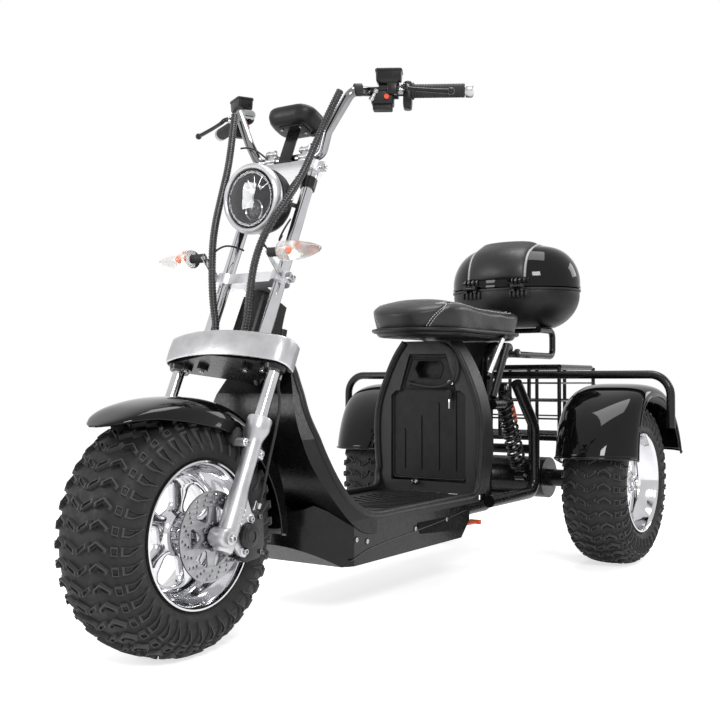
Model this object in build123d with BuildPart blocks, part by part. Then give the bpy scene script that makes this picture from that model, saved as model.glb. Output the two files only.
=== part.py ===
from build123d import *
import os
from math import sin, cos, tan, radians, sqrt

# Electric three-wheeled scooter with two driven rear wheels. Millimetres.
# It faces -Y, its left side is +X and +Z is up. The origin is on the ground,
# under the middle of the overall length. Distances called "behind" are measured
# backwards from the front axle.

os.makedirs("parts", exist_ok=True)

# ---------------------------------------------------------------- driving dimensions
FRONT_Y = -760.0  # front axle
WHEELBASE = 1473.0
TRACK = 750.0  # between the middles of the rear tyres
RAKE = 24.5  # lean of the fork from the vertical, degrees

TYRE_RADIUS = 240.0  # to the tips of the lugs
TYRE_HALF_WIDTH = 93.0
TYRE_WALL = 11.0
LUG_HEIGHT = 9.0
LUG_ROWS = 19
LUG_LENGTH = 15.0  # along the tread
LUG_SLANT = 24.0  # from straight across, degrees
RIM_RADIUS = 143.0  # to the edge of the lip
RIM_HALF_WIDTH = 84.0
RIM_WALL = 6.0
RIM_WELL = 18.0  # depth of the well under the bead seat
HUB_RADIUS = 34.0
FRONT_AXLE_RADIUS = 10.0
REAR_AXLE_RADIUS = 15.0

DISC_RADIUS = 87.0
DISC_THICKNESS = 4.0
DISC_X = 104.0  # inner face of the brake disc

LEG_X = 131.0  # fork legs, either side of the middle
LEG_BACK = 14.0  # axis of the legs behind the axle
LEG_RADIUS = 17.0
LEG_FOOT_RADIUS = 20.0
LEG_FOOT_TOP = 72.0
LEG_COLLAR_RADIUS = 25.0
LEG_TOP = 250.0  # along the fork from the axle
LEG_BOTTOM = -26.0
BRACKET_X = 119.0  # inner face of the caliper's bracket
BRACKET_THICKNESS = 9.0
STANCHION_RADIUS = 13.0
YOKE_ALONG = 362.0  # underside of the lower yoke
YOKE_THICKNESS = 24.0
YOKE_REACH = 26.0  # of its ends beyond the legs' axes
BAND_HEIGHT = 56.0
BAND_WALL = 3.0
UPPER_TUBE_X = 77.0
UPPER_TUBE_RADIUS = 13.5
MID_CLAMP_ALONG = 560.0
MID_CLAMP_THICKNESS = 24.0
TOP_CLAMP_ALONG = 842.0
TOP_CLAMP_THICKNESS = 24.0
STEM_BACK = 59.0  # steering axis behind the axle
STEM_RADIUS = 15.0
HEAD_TUBE_RADIUS = 27.0

RISER_X = 48.0
RISER_RADIUS = 17.0
RISER_TOP_ALONG = 905.0
BAR_RADIUS = 11.0
GRIP_RADIUS = 15.5
LAMP_RADIUS = 78.0  # of the headlight's ring
LENS_BULGE = 8.0
MIRROR_HOLE_RADIUS = 4.1
MIRROR_DEPTH = 12.0

FENDER_WALL = 4.0
FENDER_HALF_WIDTH = 101.0
FENDER_DROP = 64.0  # of its sides below its crown

FLOOR_Z = 226.0  # standing surface
FLOOR_THICKNESS = 16.0
FLOOR_HALF_WIDTH = 160.0
FLOOR_RIBS = 9
FLOOR_RIB = 3.0
BELLY_Z = 126.0
PANEL_WALL = 4.0
BODY_CHANNEL = 1.0  # room round the frame where the body panels pass it

FRAME_TUBE_RADIUS = 17.0
FRAME_HALF_WIDTH = 150.0
RAIL_X = 90.0  # floor rails, either side of the middle
RAIL_Z = 180.0
CROSS_TUBE_RADIUS = 14.0
RACK_TUBE_RADIUS = 10.0
RAIL_TUBE_RADIUS = 12.0
STAND_X = 96.0
STAND_BEHIND = 968.0
STAND_Z = 146.0
STAND_REACH = 136.0  # from its pin to its foot
STAND_PIN_RADIUS = 5.0
STAND_ROD_RADIUS = 5.5
STAND_LUG_HALF = 5.0

BATTERY_BEHIND = 1020.0  # its front face
BATTERY_HALF_WIDTH = 119.0
BATTERY_BASE_Z = 262.0
BATTERY_TOP_Z = 612.0
BATTERY_DEPTH = 135.0
BATTERY_RIB = 3.0
BATTERY_ROOM = 35.0  # from its back to the seat posts' axes

SHOCK_X = 118.0
SHOCK_RADIUS = 24.0
SHOCK_END = 34.0  # bare length beside each eye
SHOCK_COILS = 7
SHOCK_EYE_RADIUS = 14.0

SEAT_FRONT = 778.0
SEAT_REAR = 1370.0
SEAT_HALF_WIDTH = 150.0
SEAT_BASE_Z = 652.0
SEAT_BASE_THICKNESS = 24.0
SEAT_TOP_Z = 762.0

CASE_BEHIND = 1590.0
CASE_HALF_LENGTH = 160.0
CASE_HALF_WIDTH = 212.0
CASE_BASE_Z = 708.0
CASE_BELT_Z = 832.0
CASE_TOP_Z = 968.0
CASE_WALL = 3.0
CASE_RIM_HEIGHT = 6.0
HINGE_BEHIND = 1424.0  # axis of the lid's hinge
HINGE_Z = 830.0
HINGE_X = 82.0
HINGE_WIDTH = 20.0
HINGE_LUG = 10.0
HINGE_RADIUS = 8.0
HINGE_PIN_RADIUS = 3.0

PAD_HALF_WIDTH = 92.0
PAD_THICKNESS = 13.0

REAR_FENDER_RADIUS = 290.0
REAR_FENDER_ARCH_RADIUS = 256.0  # of the opening in its outer side
REAR_FENDER_EDGE = 34.0
REAR_FENDER_INNER_BOW = 84.0  # rounding of its front corners, seen from above
REAR_FENDER_OUTER_BOW = 100.0
REAR_FENDER_INNER_X = 252.0
REAR_FENDER_OUTER_X = 500.0

LOOM_RADIUS = 9.0
HOSE_RADIUS = 3.0

FIT = 0.05  # radial running clearance of a shaft in its bore
GAP = 0.5  # between pieces that are set against each other
SWING = 6.0  # room round what turns

# ---------------------------------------------------------------- shared places and helpers
AXLE_Z = TYRE_RADIUS
TOWER_BEHIND = BATTERY_BEHIND - 10  # front face of the seat tower
POST_BEHIND = BATTERY_BEHIND + BATTERY_DEPTH + BATTERY_ROOM  # feet of the seat posts
BELLY_REAR = STAND_BEHIND - 8
FLOOR_FRONT = 500.0 + GAP
REAR_Y = FRONT_Y + WHEELBASE
SIDES = (1, -1)
# The fork's own plane: x to the left, y backwards, z up along the legs, from the front axle.
FORK = Plane(
    origin=(0, FRONT_Y, AXLE_Z),
    x_dir=(1, 0, 0),
    z_dir=(0, sin(radians(RAKE)), cos(radians(RAKE))),
)


def behind(distance):
    """Y of a place that is so far behind the front axle."""
    return FRONT_Y + distance


def on_fork(x, back, along):
    """A point of the fork's plane in the frame of the whole vehicle."""
    return FORK.from_local_coords(Vector(x, back, along))


def fork_level(along):
    """The plane across the fork at a height along it, its origin in line with the axle."""
    return FORK.offset(along)


def across(x, y, z):
    """A plane facing +X, with local x backwards and local y up."""
    return Plane(origin=(x, y, z), x_dir=(0, 1, 0), z_dir=(1, 0, 0))


def facing_back(y):
    """A plane facing +Y whose local x is -X and whose local y is up."""
    return Plane(origin=(0, y, 0), x_dir=(-1, 0, 0), z_dir=(0, 1, 0))


def side_profile(half_width):
    """The plane in which a side view is drawn: local x is Y, local y is Z."""
    return Plane(origin=(-half_width, 0, 0), x_dir=(0, 1, 0), z_dir=(1, 0, 0))


def wheel_section(x, y, z=AXLE_Z, angle=90.0):
    """The half-plane of a wheel's section: local x to the left, local y outwards from the axle.

    The angle is that of local y, counted upwards from straight back.
    """
    turn = radians(angle)
    return Plane(origin=(x, y, z), x_dir=(1, 0, 0), z_dir=(0, -sin(turn), cos(turn)))


def run_tube(points, radius, bend=0.0, bore=0.0, mode=Mode.ADD):
    """Adds a round tube along straight runs that are joined by arcs."""
    with BuildLine() as path:
        if bend and len(points) > 2:
            FilletPolyline(*points, radius=bend)
        else:
            Polyline(*points)
    with BuildSketch(Plane(origin=path.line @ 0, z_dir=path.line % 0)) as section:
        Circle(radius)
        if bore:
            Circle(bore, mode=Mode.SUBTRACT)
    sweep(section.sketch, path=path.line, mode=mode)


def cable(points, radius):
    """Adds a cable: straight runs joined by arcs as large as the runs allow."""
    corners = [Vector(*p) for p in points]
    bends = []
    for before, corner, after in zip(corners, corners[1:], corners[2:]):
        turn = radians((corner - before).get_angle(after - corner))
        shorter = min((corner - before).length, (after - corner).length)
        bends.append(0.45 * shorter / tan(turn / 2))
    with BuildLine() as path:
        FilletPolyline(*corners, radius=bends)
    with BuildSketch(Plane(origin=path.line @ 0, z_dir=path.line % 0)) as section:
        Circle(radius)
    sweep(section.sketch, path=path.line)


def mirrored_x(points):
    """The same points on the other side."""
    return [(-x, y, z) for x, y, z in points]


def save(name, builder):
    """Labels a finished piece and writes it."""
    builder.part.label = name
    export_step(builder.part, f"parts/{name}.step")


# ---------------------------------------------------------------- tyres, rims and disc
def tyre_ring(x, y):
    """Adds a balloon tyre, open towards the axle, with its beads beside the rim's seats."""
    carcass = TYRE_RADIUS - LUG_HEIGHT
    half = TYRE_HALF_WIDTH - 2
    bead_x = RIM_HALF_WIDTH - 9 - GAP
    bead = RIM_RADIUS - 8
    wall = TYRE_WALL
    with BuildSketch(wheel_section(x, y)) as section:
        with BuildLine():
            left_bead = Line((-bead_x, bead), (-bead_x, RIM_RADIUS + 1.5))
            outside = Spline(
                left_bead @ 1,
                (-half, carcass * 0.79),
                (-half * 0.86, carcass * 0.955),
                (0, carcass + 1),
                (half * 0.86, carcass * 0.955),
                (half, carcass * 0.79),
                (bead_x, RIM_RADIUS + 1.5),
            )
            right_bead = Line(outside @ 1, (bead_x, bead))
            inside = Spline(
                (bead_x - wall, bead),
                (half - wall, carcass * 0.79),
                (half * 0.82 - wall, carcass * 0.92),
                (0, TYRE_RADIUS - LUG_HEIGHT - wall),
                (-half * 0.82 + wall, carcass * 0.92),
                (-half + wall, carcass * 0.79),
                (-bead_x + wall, bead),
            )
            Line(right_bead @ 1, inside @ 0)
            Line(inside @ 1, left_bead @ 0)
        make_face()
    revolve(section.sketch, axis=Axis((x, y, AXLE_Z), (1, 0, 0)))


def tread_lugs(x, y):
    """Adds the slanted lugs, which meet in staggered halves and run down over the shoulders."""
    carcass = TYRE_RADIUS - LUG_HEIGHT
    half = TYRE_HALF_WIDTH - 2
    outline = [
        (5, carcass - 5),
        (5, TYRE_RADIUS - 0.3),
        (half * 0.53, TYRE_RADIUS - 3.5),
        (half * 0.84, TYRE_RADIUS - 10),
        (half - 3, carcass * 0.9),
        (half - 1.5, carcass * 0.805),
        (half - 5, carcass * 0.805),
        (half * 0.77, carcass * 0.926),
    ]
    for row in range(LUG_ROWS):
        for side in SIDES:
            turn = 360 / LUG_ROWS * (row + (0.5 if side > 0 else 0))
            section = wheel_section(x, y, AXLE_Z, turn)
            slant = radians(side * LUG_SLANT)
            along_lug = section.x_dir * cos(slant) + section.z_dir * sin(slant)
            lug_plane = Plane(origin=section.origin, x_dir=along_lug, z_dir=along_lug.cross(section.y_dir))
            with BuildSketch(lug_plane.offset(-LUG_LENGTH / 2)) as lug:
                with BuildLine():
                    Polyline(*[(side * a / cos(slant), r) for a, r in outline], close=True)
                make_face()
            extrude(lug.sketch, amount=LUG_LENGTH)


def rim_barrel(x, y):
    """Adds a wheel's barrel: two lips, two bead seats and the well between them."""
    lip = RIM_HALF_WIDTH
    seat = RIM_RADIUS - 8.5
    well = seat - RIM_WELL
    outer = [(lip, RIM_RADIUS), (lip - 6, RIM_RADIUS), (lip - 9, seat), (lip - 32, seat), (lip - 46, well)]
    inner = [(lip - 44, well - RIM_WALL), (lip - 29, seat - RIM_WALL), (lip - 5, seat - RIM_WALL), (lip, RIM_RADIUS - 6)]
    outline = [(-a, r) for a, r in outer] + [(a, r) for a, r in reversed(outer)]
    outline += [(a, r) for a, r in reversed(inner)] + [(-a, r) for a, r in inner]
    with BuildSketch(wheel_section(x, y)) as section:
        with BuildLine():
            Polyline(*outline, close=True)
        make_face()
    revolve(section.sketch, axis=Axis((x, y, AXLE_Z), (1, 0, 0)))


def wheel_centre(x, y, side, dish, thickness, windows, first, inner, outer, share, bore):
    """Adds a pierced wheel centre and its hub, dish away from the middle plane, and bores it."""
    well = RIM_RADIUS - 8.5 - RIM_WELL
    face = x + side * dish
    with BuildSketch(across(face - thickness / 2, y, AXLE_Z)) as web:
        Circle(well - RIM_WALL / 2)
        with PolarLocations(0, windows, start_angle=first):
            with BuildLine(mode=Mode.PRIVATE) as edge:
                half = radians(180 / windows * share)
                low = (inner * cos(half * 0.8), inner * sin(half * 0.8))
                high = (outer * cos(half), outer * sin(half))
                Polyline(low, high)
                ThreePointArc(high, (outer * 1.03, 0), (high[0], -high[1]))
                Polyline((high[0], -high[1]), (low[0], -low[1]))
                ThreePointArc((low[0], -low[1]), (inner * 0.97, 0), low)
            make_face(edge.edges(), mode=Mode.SUBTRACT)
    extrude(web.sketch, amount=thickness)
    with BuildSketch(across(x - RIM_HALF_WIDTH * 0.62, y, AXLE_Z)) as hub:
        Circle(HUB_RADIUS)
    extrude(hub.sketch, amount=RIM_HALF_WIDTH * 1.24)
    with BuildSketch(across(x - RIM_HALF_WIDTH, y, AXLE_Z)) as axle_hole:
        Circle(bore)
    extrude(axle_hole.sketch, amount=RIM_HALF_WIDTH * 2, mode=Mode.SUBTRACT)


with BuildPart() as front_tyre:
    tyre_ring(0, FRONT_Y)
    tread_lugs(0, FRONT_Y)
save("front_tyre", front_tyre)

with BuildPart() as front_rim:
    rim_barrel(0, FRONT_Y)
    wheel_centre(0, FRONT_Y, 1, 5, 26, 5, 44, 44, 104, 0.66, FRONT_AXLE_RADIUS + FIT)
save("front_rim", front_rim)

with BuildPart() as brake_disc:
    with BuildSketch(across(DISC_X, FRONT_Y, AXLE_Z)):
        Circle(DISC_RADIUS)
        with PolarLocations(DISC_RADIUS * 0.58, 6):
            RegularPolygon(15, 3, mode=Mode.SUBTRACT)
    extrude(amount=DISC_THICKNESS)
    hub_face = RIM_HALF_WIDTH * 0.62
    with BuildSketch(across(hub_face + GAP, FRONT_Y, AXLE_Z)):
        Circle(HUB_RADIUS - 4)
    extrude(amount=DISC_X - hub_face - GAP + DISC_THICKNESS)
    with BuildSketch(across(0, FRONT_Y, AXLE_Z)):
        Circle(FRONT_AXLE_RADIUS + FIT)
    extrude(amount=DISC_X * 2, mode=Mode.SUBTRACT)
save("brake_disc", brake_disc)

for wheel_name, side in (("left", 1), ("right", -1)):
    with BuildPart() as rear_tyre:
        add(front_tyre.part.moved(Location((side * TRACK / 2, WHEELBASE, 0))))
    save(f"rear_tyre_{wheel_name}", rear_tyre)

    with BuildPart() as rear_rim:
        rim_barrel(side * TRACK / 2, REAR_Y)
        wheel_centre(side * TRACK / 2, REAR_Y, side, 20, 22, 8, 0, 52, 106, 0.62, REAR_AXLE_RADIUS + FIT)
    save(f"rear_rim_{wheel_name}", rear_rim)

# ---------------------------------------------------------------- fork
with BuildPart() as front_axle:
    with BuildSketch(across(-LEG_X - LEG_RADIUS - 6, FRONT_Y, AXLE_Z)):
        Circle(FRONT_AXLE_RADIUS)
    extrude(amount=2 * (LEG_X + LEG_RADIUS + 6))
save("front_axle", front_axle)

leg_profile = [
    (0, LEG_BOTTOM),
    (LEG_FOOT_RADIUS - 3, LEG_BOTTOM),
    (LEG_FOOT_RADIUS, LEG_BOTTOM + 6),
    (LEG_FOOT_RADIUS, LEG_FOOT_TOP),
    (LEG_RADIUS, LEG_FOOT_TOP + 26),
    (LEG_RADIUS, LEG_TOP - 46),
    (LEG_COLLAR_RADIUS - 2, LEG_TOP - 30),
    (LEG_COLLAR_RADIUS, LEG_TOP - 24),
    (LEG_COLLAR_RADIUS, LEG_TOP - 2),
    (LEG_COLLAR_RADIUS - 2, LEG_TOP),
    (0, LEG_TOP),
]
bracket_outline = [(-4, 94), (20, 98), (46, 94), (64, 76), (78, 74), (84, 62), (78, 52), (48, 50)]
bracket_outline += [(46, 4), (70, 3), (88, 2), (90, -14), (74, -18), (40, -4), (10, -16)]
with BuildPart() as fork_sliders:
    for side in SIDES:
        leg_foot = on_fork(side * LEG_X, LEG_BACK, 0)
        with BuildSketch(Plane(origin=leg_foot, x_dir=(1, 0, 0), z_dir=-FORK.y_dir)) as leg_half:
            with BuildLine():
                Polyline(*leg_profile, close=True)
            make_face()
        revolve(leg_half.sketch, axis=Axis(leg_foot, FORK.z_dir))
        boss_inner, boss_outer = LEG_X - LEG_FOOT_RADIUS + 1, LEG_X + LEG_FOOT_RADIUS + 5
        boss_start = boss_inner if side > 0 else -boss_outer
        with BuildSketch(across(boss_start, FRONT_Y, AXLE_Z)) as boss:
            Circle(FRONT_AXLE_RADIUS + 8)
        extrude(boss.sketch, amount=boss_outer - boss_inner)
        arm_start = LEG_X - LEG_COLLAR_RADIUS - 4 if side > 0 else -LEG_X
        fender_arm = on_fork(arm_start, LEG_BACK - 22, LEG_TOP - 60)
        with BuildSketch(Plane(origin=fender_arm, x_dir=(0, 1, 0), z_dir=(1, 0, 0))) as arm:
            Circle(8.5)
        extrude(arm.sketch, amount=LEG_COLLAR_RADIUS + 4)
        with BuildSketch(Plane(origin=on_fork(side * LEG_X, LEG_BACK, 40), x_dir=(1, 0, 0), z_dir=FORK.z_dir)) as bore:
            Circle(STANCHION_RADIUS + GAP)
        extrude(bore.sketch, amount=LEG_TOP, mode=Mode.SUBTRACT)
    with BuildSketch(Plane(origin=on_fork(BRACKET_X, 0, 0), x_dir=FORK.y_dir, z_dir=(1, 0, 0))) as bracket:
        with BuildLine():
            Polyline(*bracket_outline, close=True)
        make_face()
        fillet(bracket.vertices(), 5)
    extrude(bracket.sketch, amount=BRACKET_THICKNESS)
    with BuildSketch(Plane(origin=on_fork(LEG_X, LEG_BACK, 40), x_dir=(1, 0, 0), z_dir=FORK.z_dir)) as left_bore:
        Circle(STANCHION_RADIUS + GAP)
    extrude(left_bore.sketch, amount=LEG_TOP, mode=Mode.SUBTRACT)
    with BuildSketch(across(-2 * LEG_X, FRONT_Y, AXLE_Z)) as axle_bore:
        Circle(FRONT_AXLE_RADIUS + GAP)
    extrude(axle_bore.sketch, amount=4 * LEG_X, mode=Mode.SUBTRACT)
save("fork_sliders", fork_sliders)

with BuildPart() as stanchions:
    for side in SIDES:
        with BuildSketch(Plane(origin=on_fork(side * LEG_X, LEG_BACK, 41), x_dir=(1, 0, 0), z_dir=FORK.z_dir)):
            Circle(STANCHION_RADIUS)
        extrude(amount=YOKE_ALONG - 41 - GAP)
save("stanchions", stanchions)

with BuildPart() as lower_yoke:
    with BuildSketch(fork_level(YOKE_ALONG)):
        with Locations((LEG_X, LEG_BACK), (-LEG_X, LEG_BACK)):
            Circle(YOKE_REACH)
        with Locations((0, LEG_BACK)):
            Rectangle(2 * LEG_X, 40)
        with BuildLine():
            CenterArc((0, STEM_BACK), HEAD_TUBE_RADIUS, 0, 180)
            CenterArc((0, LEG_BACK), 60, 0, -180)
        make_hull()
    extrude(amount=YOKE_THICKNESS)
    with BuildSketch(fork_level(YOKE_ALONG + YOKE_THICKNESS)):
        with Locations((0, STEM_BACK)):
            Circle(STEM_RADIUS)
    extrude(amount=MID_CLAMP_ALONG - YOKE_ALONG - YOKE_THICKNESS - GAP)
save("lower_yoke", lower_yoke)

with BuildPart() as yoke_cover:
    cover_back = LEG_BACK - YOKE_REACH
    end_x = LEG_X + YOKE_REACH + GAP + BAND_WALL
    with BuildSketch(fork_level(YOKE_ALONG + 2)):
        with BuildLine():
            ends = ((end_x - 4, cover_back + 56), (end_x, cover_back + 20), (LEG_X + 4, cover_back - 8))
            left_end = ThreePointArc(*ends)
            front = ThreePointArc(left_end @ 1, (0, cover_back - 34), (-LEG_X - 4, cover_back - 8))
            ThreePointArc(front @ 1, (-end_x, cover_back + 20), (-end_x + 4, cover_back + 56))
            offset(amount=BAND_WALL, side=Side.LEFT)
        make_face()
    extrude(amount=BAND_HEIGHT)
save("yoke_cover", yoke_cover)

with BuildPart() as upper_tubes:
    for side in SIDES:
        with BuildSketch(fork_level(YOKE_ALONG + YOKE_THICKNESS + GAP)):
            with Locations((side * UPPER_TUBE_X, LEG_BACK)):
                Circle(UPPER_TUBE_RADIUS)
        extrude(amount=TOP_CLAMP_ALONG + TOP_CLAMP_THICKNESS - YOKE_ALONG - YOKE_THICKNESS - GAP)
save("upper_tubes", upper_tubes)

with BuildPart() as mid_clamp:
    with BuildSketch(fork_level(MID_CLAMP_ALONG)):
        with Locations((UPPER_TUBE_X, LEG_BACK), (-UPPER_TUBE_X, LEG_BACK)):
            Circle(UPPER_TUBE_RADIUS + 9)
        with Locations((0, LEG_BACK)):
            Rectangle(2 * UPPER_TUBE_X, 26)
        with Locations((0, STEM_BACK)):
            Circle(HEAD_TUBE_RADIUS + 2)
        with Locations((0, (STEM_BACK + LEG_BACK) / 2)):
            Rectangle(70, STEM_BACK - LEG_BACK)
        with Locations((UPPER_TUBE_X, LEG_BACK), (-UPPER_TUBE_X, LEG_BACK)):
            Circle(UPPER_TUBE_RADIUS + GAP, mode=Mode.SUBTRACT)
    extrude(amount=MID_CLAMP_THICKNESS)
save("mid_clamp", mid_clamp)

with BuildPart() as top_clamp:
    with BuildSketch(fork_level(TOP_CLAMP_ALONG)):
        with Locations((UPPER_TUBE_X, LEG_BACK), (-UPPER_TUBE_X, LEG_BACK)):
            Circle(UPPER_TUBE_RADIUS + 9)
        with Locations((0, LEG_BACK)):
            Rectangle(2 * UPPER_TUBE_X, 40)
        with Locations((UPPER_TUBE_X, LEG_BACK), (-UPPER_TUBE_X, LEG_BACK)):
            Circle(UPPER_TUBE_RADIUS + GAP, mode=Mode.SUBTRACT)
    extrude(amount=TOP_CLAMP_THICKNESS)
    for side in SIDES:
        with BuildSketch(fork_level(TOP_CLAMP_ALONG + TOP_CLAMP_THICKNESS)):
            with Locations((side * RISER_X, LEG_BACK)):
                Circle(RISER_RADIUS - 2)
        extrude(amount=RISER_TOP_ALONG - TOP_CLAMP_ALONG - TOP_CLAMP_THICKNESS)
    riser_bore = on_fork(-RISER_X - 2 * RISER_RADIUS, LEG_BACK, RISER_TOP_ALONG - BAR_RADIUS - 7)
    with BuildSketch(Plane(origin=riser_bore, x_dir=(0, 1, 0), z_dir=(1, 0, 0))):
        Circle(BAR_RADIUS + GAP)
    extrude(amount=2 * (RISER_X + 2 * RISER_RADIUS), mode=Mode.SUBTRACT)
save("top_clamp", top_clamp)

# ---------------------------------------------------------------- handlebar and what it carries
BAR_CLAMP = on_fork(0, LEG_BACK, RISER_TOP_ALONG - BAR_RADIUS - 7)
BAR_BEND = (164, behind(392), 1178)
GRIP_START = (253, behind(500), 1189)
GRIP_END = (360, behind(556), 1187)
GRIP_DIR = Vector(*GRIP_END) - Vector(*GRIP_START)
CONTROLS_START = Vector(*GRIP_START) - GRIP_DIR.normalized() * 84
bar_left = [(90, BAR_CLAMP.Y, BAR_CLAMP.Z), (112, behind(372), 1090), BAR_BEND, tuple(CONTROLS_START), GRIP_END]
with BuildPart() as handlebar:
    run_tube(list(reversed(mirrored_x(bar_left))) + bar_left, BAR_RADIUS, bend=26)
save("handlebar", handlebar)

GRIP_ALONG = GRIP_DIR.normalized()
with BuildPart() as grips:
    with BuildSketch(Plane(origin=Vector(*GRIP_START) + GRIP_ALONG * 6, z_dir=GRIP_ALONG)):
        Circle(GRIP_RADIUS)
        Circle(BAR_RADIUS + GAP, mode=Mode.SUBTRACT)
    extrude(amount=GRIP_DIR.length - 6)
    mirror(about=Plane.YZ)
save("grips", grips)

with BuildPart() as bar_ends:
    with BuildSketch(Plane(origin=Vector(*GRIP_END) + GRIP_ALONG * GAP, z_dir=GRIP_ALONG)):
        Circle(GRIP_RADIUS + 0.5)
    extrude(amount=18)
    mirror(about=Plane.YZ)
save("bar_ends", bar_ends)


def control_plane(before):
    """A level plane on the bar so far inboard of the grip, with local x out along the bar."""
    place = Vector(*GRIP_START) - GRIP_ALONG * before
    return Plane(origin=place, x_dir=GRIP_ALONG, z_dir=(0, 0, 1))


def bar_hole(before, length):
    """Cuts the bar's room out of what is clamped on it."""
    start = Vector(*GRIP_START) - GRIP_ALONG * (before + length / 2)
    with BuildSketch(Plane(origin=start, z_dir=GRIP_ALONG)) as hole:
        Circle(BAR_RADIUS + GAP)
    extrude(hole.sketch, amount=length, mode=Mode.SUBTRACT)


with BuildPart() as brake_levers:
    perch = control_plane(42)
    with BuildSketch(perch.offset(-BAR_RADIUS - 5)):
        Rectangle(34, 2 * BAR_RADIUS + 12)
    extrude(amount=2 * BAR_RADIUS + 10)
    with BuildSketch(perch.offset(BAR_RADIUS + 5)):
        with Locations((-8, -14)):
            Rectangle(56, 38)
    extrude(amount=MIRROR_DEPTH + 18)
    bar_hole(42, 80)
    with BuildSketch(perch.offset(BAR_RADIUS + 5 + 18)) as mirror_hole:
        with Locations((-22, -14)):
            Circle(MIRROR_HOLE_RADIUS)
    extrude(mirror_hole.sketch, amount=MIRROR_DEPTH, mode=Mode.SUBTRACT)
    forward = Vector(0, -1, 0)
    blade = [
        perch.origin + forward * 18,
        perch.origin + GRIP_ALONG * 20 + forward * 46,
        perch.origin + GRIP_ALONG * 148 + forward * 44,
    ]
    run_tube(blade, 5, bend=20)
    with Locations(blade[-1]):
        Sphere(8)
    mirror(about=Plane.YZ)
save("brake_levers", brake_levers)

with BuildPart() as switch_pods:
    with BuildSketch(control_plane(8).offset(-42)):
        Rectangle(20, 40)
    extrude(amount=62)
    bar_hole(8, 40)
    mirror(about=Plane.YZ)
save("switch_pods", switch_pods)

lamp_axis = Axis((0, behind(249), 933), (0, 1, 0))
lamp_section = Plane(origin=lamp_axis.position, x_dir=(1, 0, 0), z_dir=(0, 0, -1))
with BuildPart() as headlight_bucket:
    with BuildSketch(lamp_section):
        with BuildLine():
            Polyline((0, 84), (0, 12), (LAMP_RADIUS - 6, 12), (LAMP_RADIUS - 5, 36))
            Spline((LAMP_RADIUS - 5, 36), (LAMP_RADIUS - 14, 60), (LAMP_RADIUS - 40, 79), (0, 84))
        make_face()
    revolve(axis=lamp_axis)
save("headlight_bucket", headlight_bucket)

with BuildPart() as headlight_ring:
    with BuildSketch(lamp_section):
        with BuildLine():
            ring_edge = [(LAMP_RADIUS, -5), (LAMP_RADIUS, 12 - GAP), (LAMP_RADIUS - 12, 12 - GAP)]
            ring_edge += [(LAMP_RADIUS - 12, -12), (LAMP_RADIUS - 9, -14), (LAMP_RADIUS - 4, -12)]
            Polyline(*ring_edge, close=True)
        make_face()
    revolve(axis=lamp_axis)
save("headlight_ring", headlight_ring)

with BuildPart() as headlight_lens:
    lens_radius = LAMP_RADIUS - 12 - GAP
    with BuildSketch(lamp_section):
        with BuildLine():
            sphere = (lens_radius**2 + LENS_BULGE**2) / (2 * LENS_BULGE)
            halfway = LENS_BULGE - sphere + sqrt(sphere**2 - lens_radius**2 / 4)
            Polyline((0, -10 - LENS_BULGE), (0, 12 - GAP), (lens_radius, 12 - GAP), (lens_radius, -10))
            ThreePointArc((lens_radius, -10), (lens_radius / 2, -10 - halfway), (0, -10 - LENS_BULGE))
        make_face()
    revolve(axis=lamp_axis)
save("headlight_lens", headlight_lens)

display_face = Plane(origin=(0, behind(405), 1133), x_dir=(1, 0, 0), z_dir=(0, 0.36, 0.93))
with BuildPart() as display:
    with BuildSketch(display_face.offset(-20)):
        RectangleRounded(128, 96, 34)
    extrude(amount=40)
save("display", display)

with BuildPart() as display_bracket:
    bracket_foot = on_fork(0, LEG_BACK - 16, TOP_CLAMP_ALONG + TOP_CLAMP_THICKNESS + GAP)
    bracket_head = display_face.offset(-20 - GAP).origin
    bracket_run = bracket_head - bracket_foot
    with BuildSketch(Plane(origin=bracket_foot, x_dir=(1, 0, 0), z_dir=bracket_run)):
        Rectangle(34, 5)
    extrude(amount=bracket_run.length)
save("display_bracket", display_bracket)

with BuildPart() as signals:
    for side in SIDES:
        signal_face = Plane(origin=(side * 126, behind(193), 804), x_dir=(0, 1, 0), z_dir=(side, 0, 0))
        with BuildSketch(signal_face):
            Ellipse(26, 20)
        with BuildSketch(signal_face.offset(62)):
            Ellipse(21, 16)
        with BuildSketch(signal_face.offset(97)):
            Ellipse(6, 5)
        loft()
save("signals", signals)

with BuildPart() as signal_stalks:
    for side in SIDES:
        root = on_fork(side * 84, LEG_BACK - 26, MID_CLAMP_ALONG + 14)
        run_tube([(side * (126 - GAP), behind(193), 804), (side * 108, behind(193), 804), root], 8, bend=4)
save("signal_stalks", signal_stalks)

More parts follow.
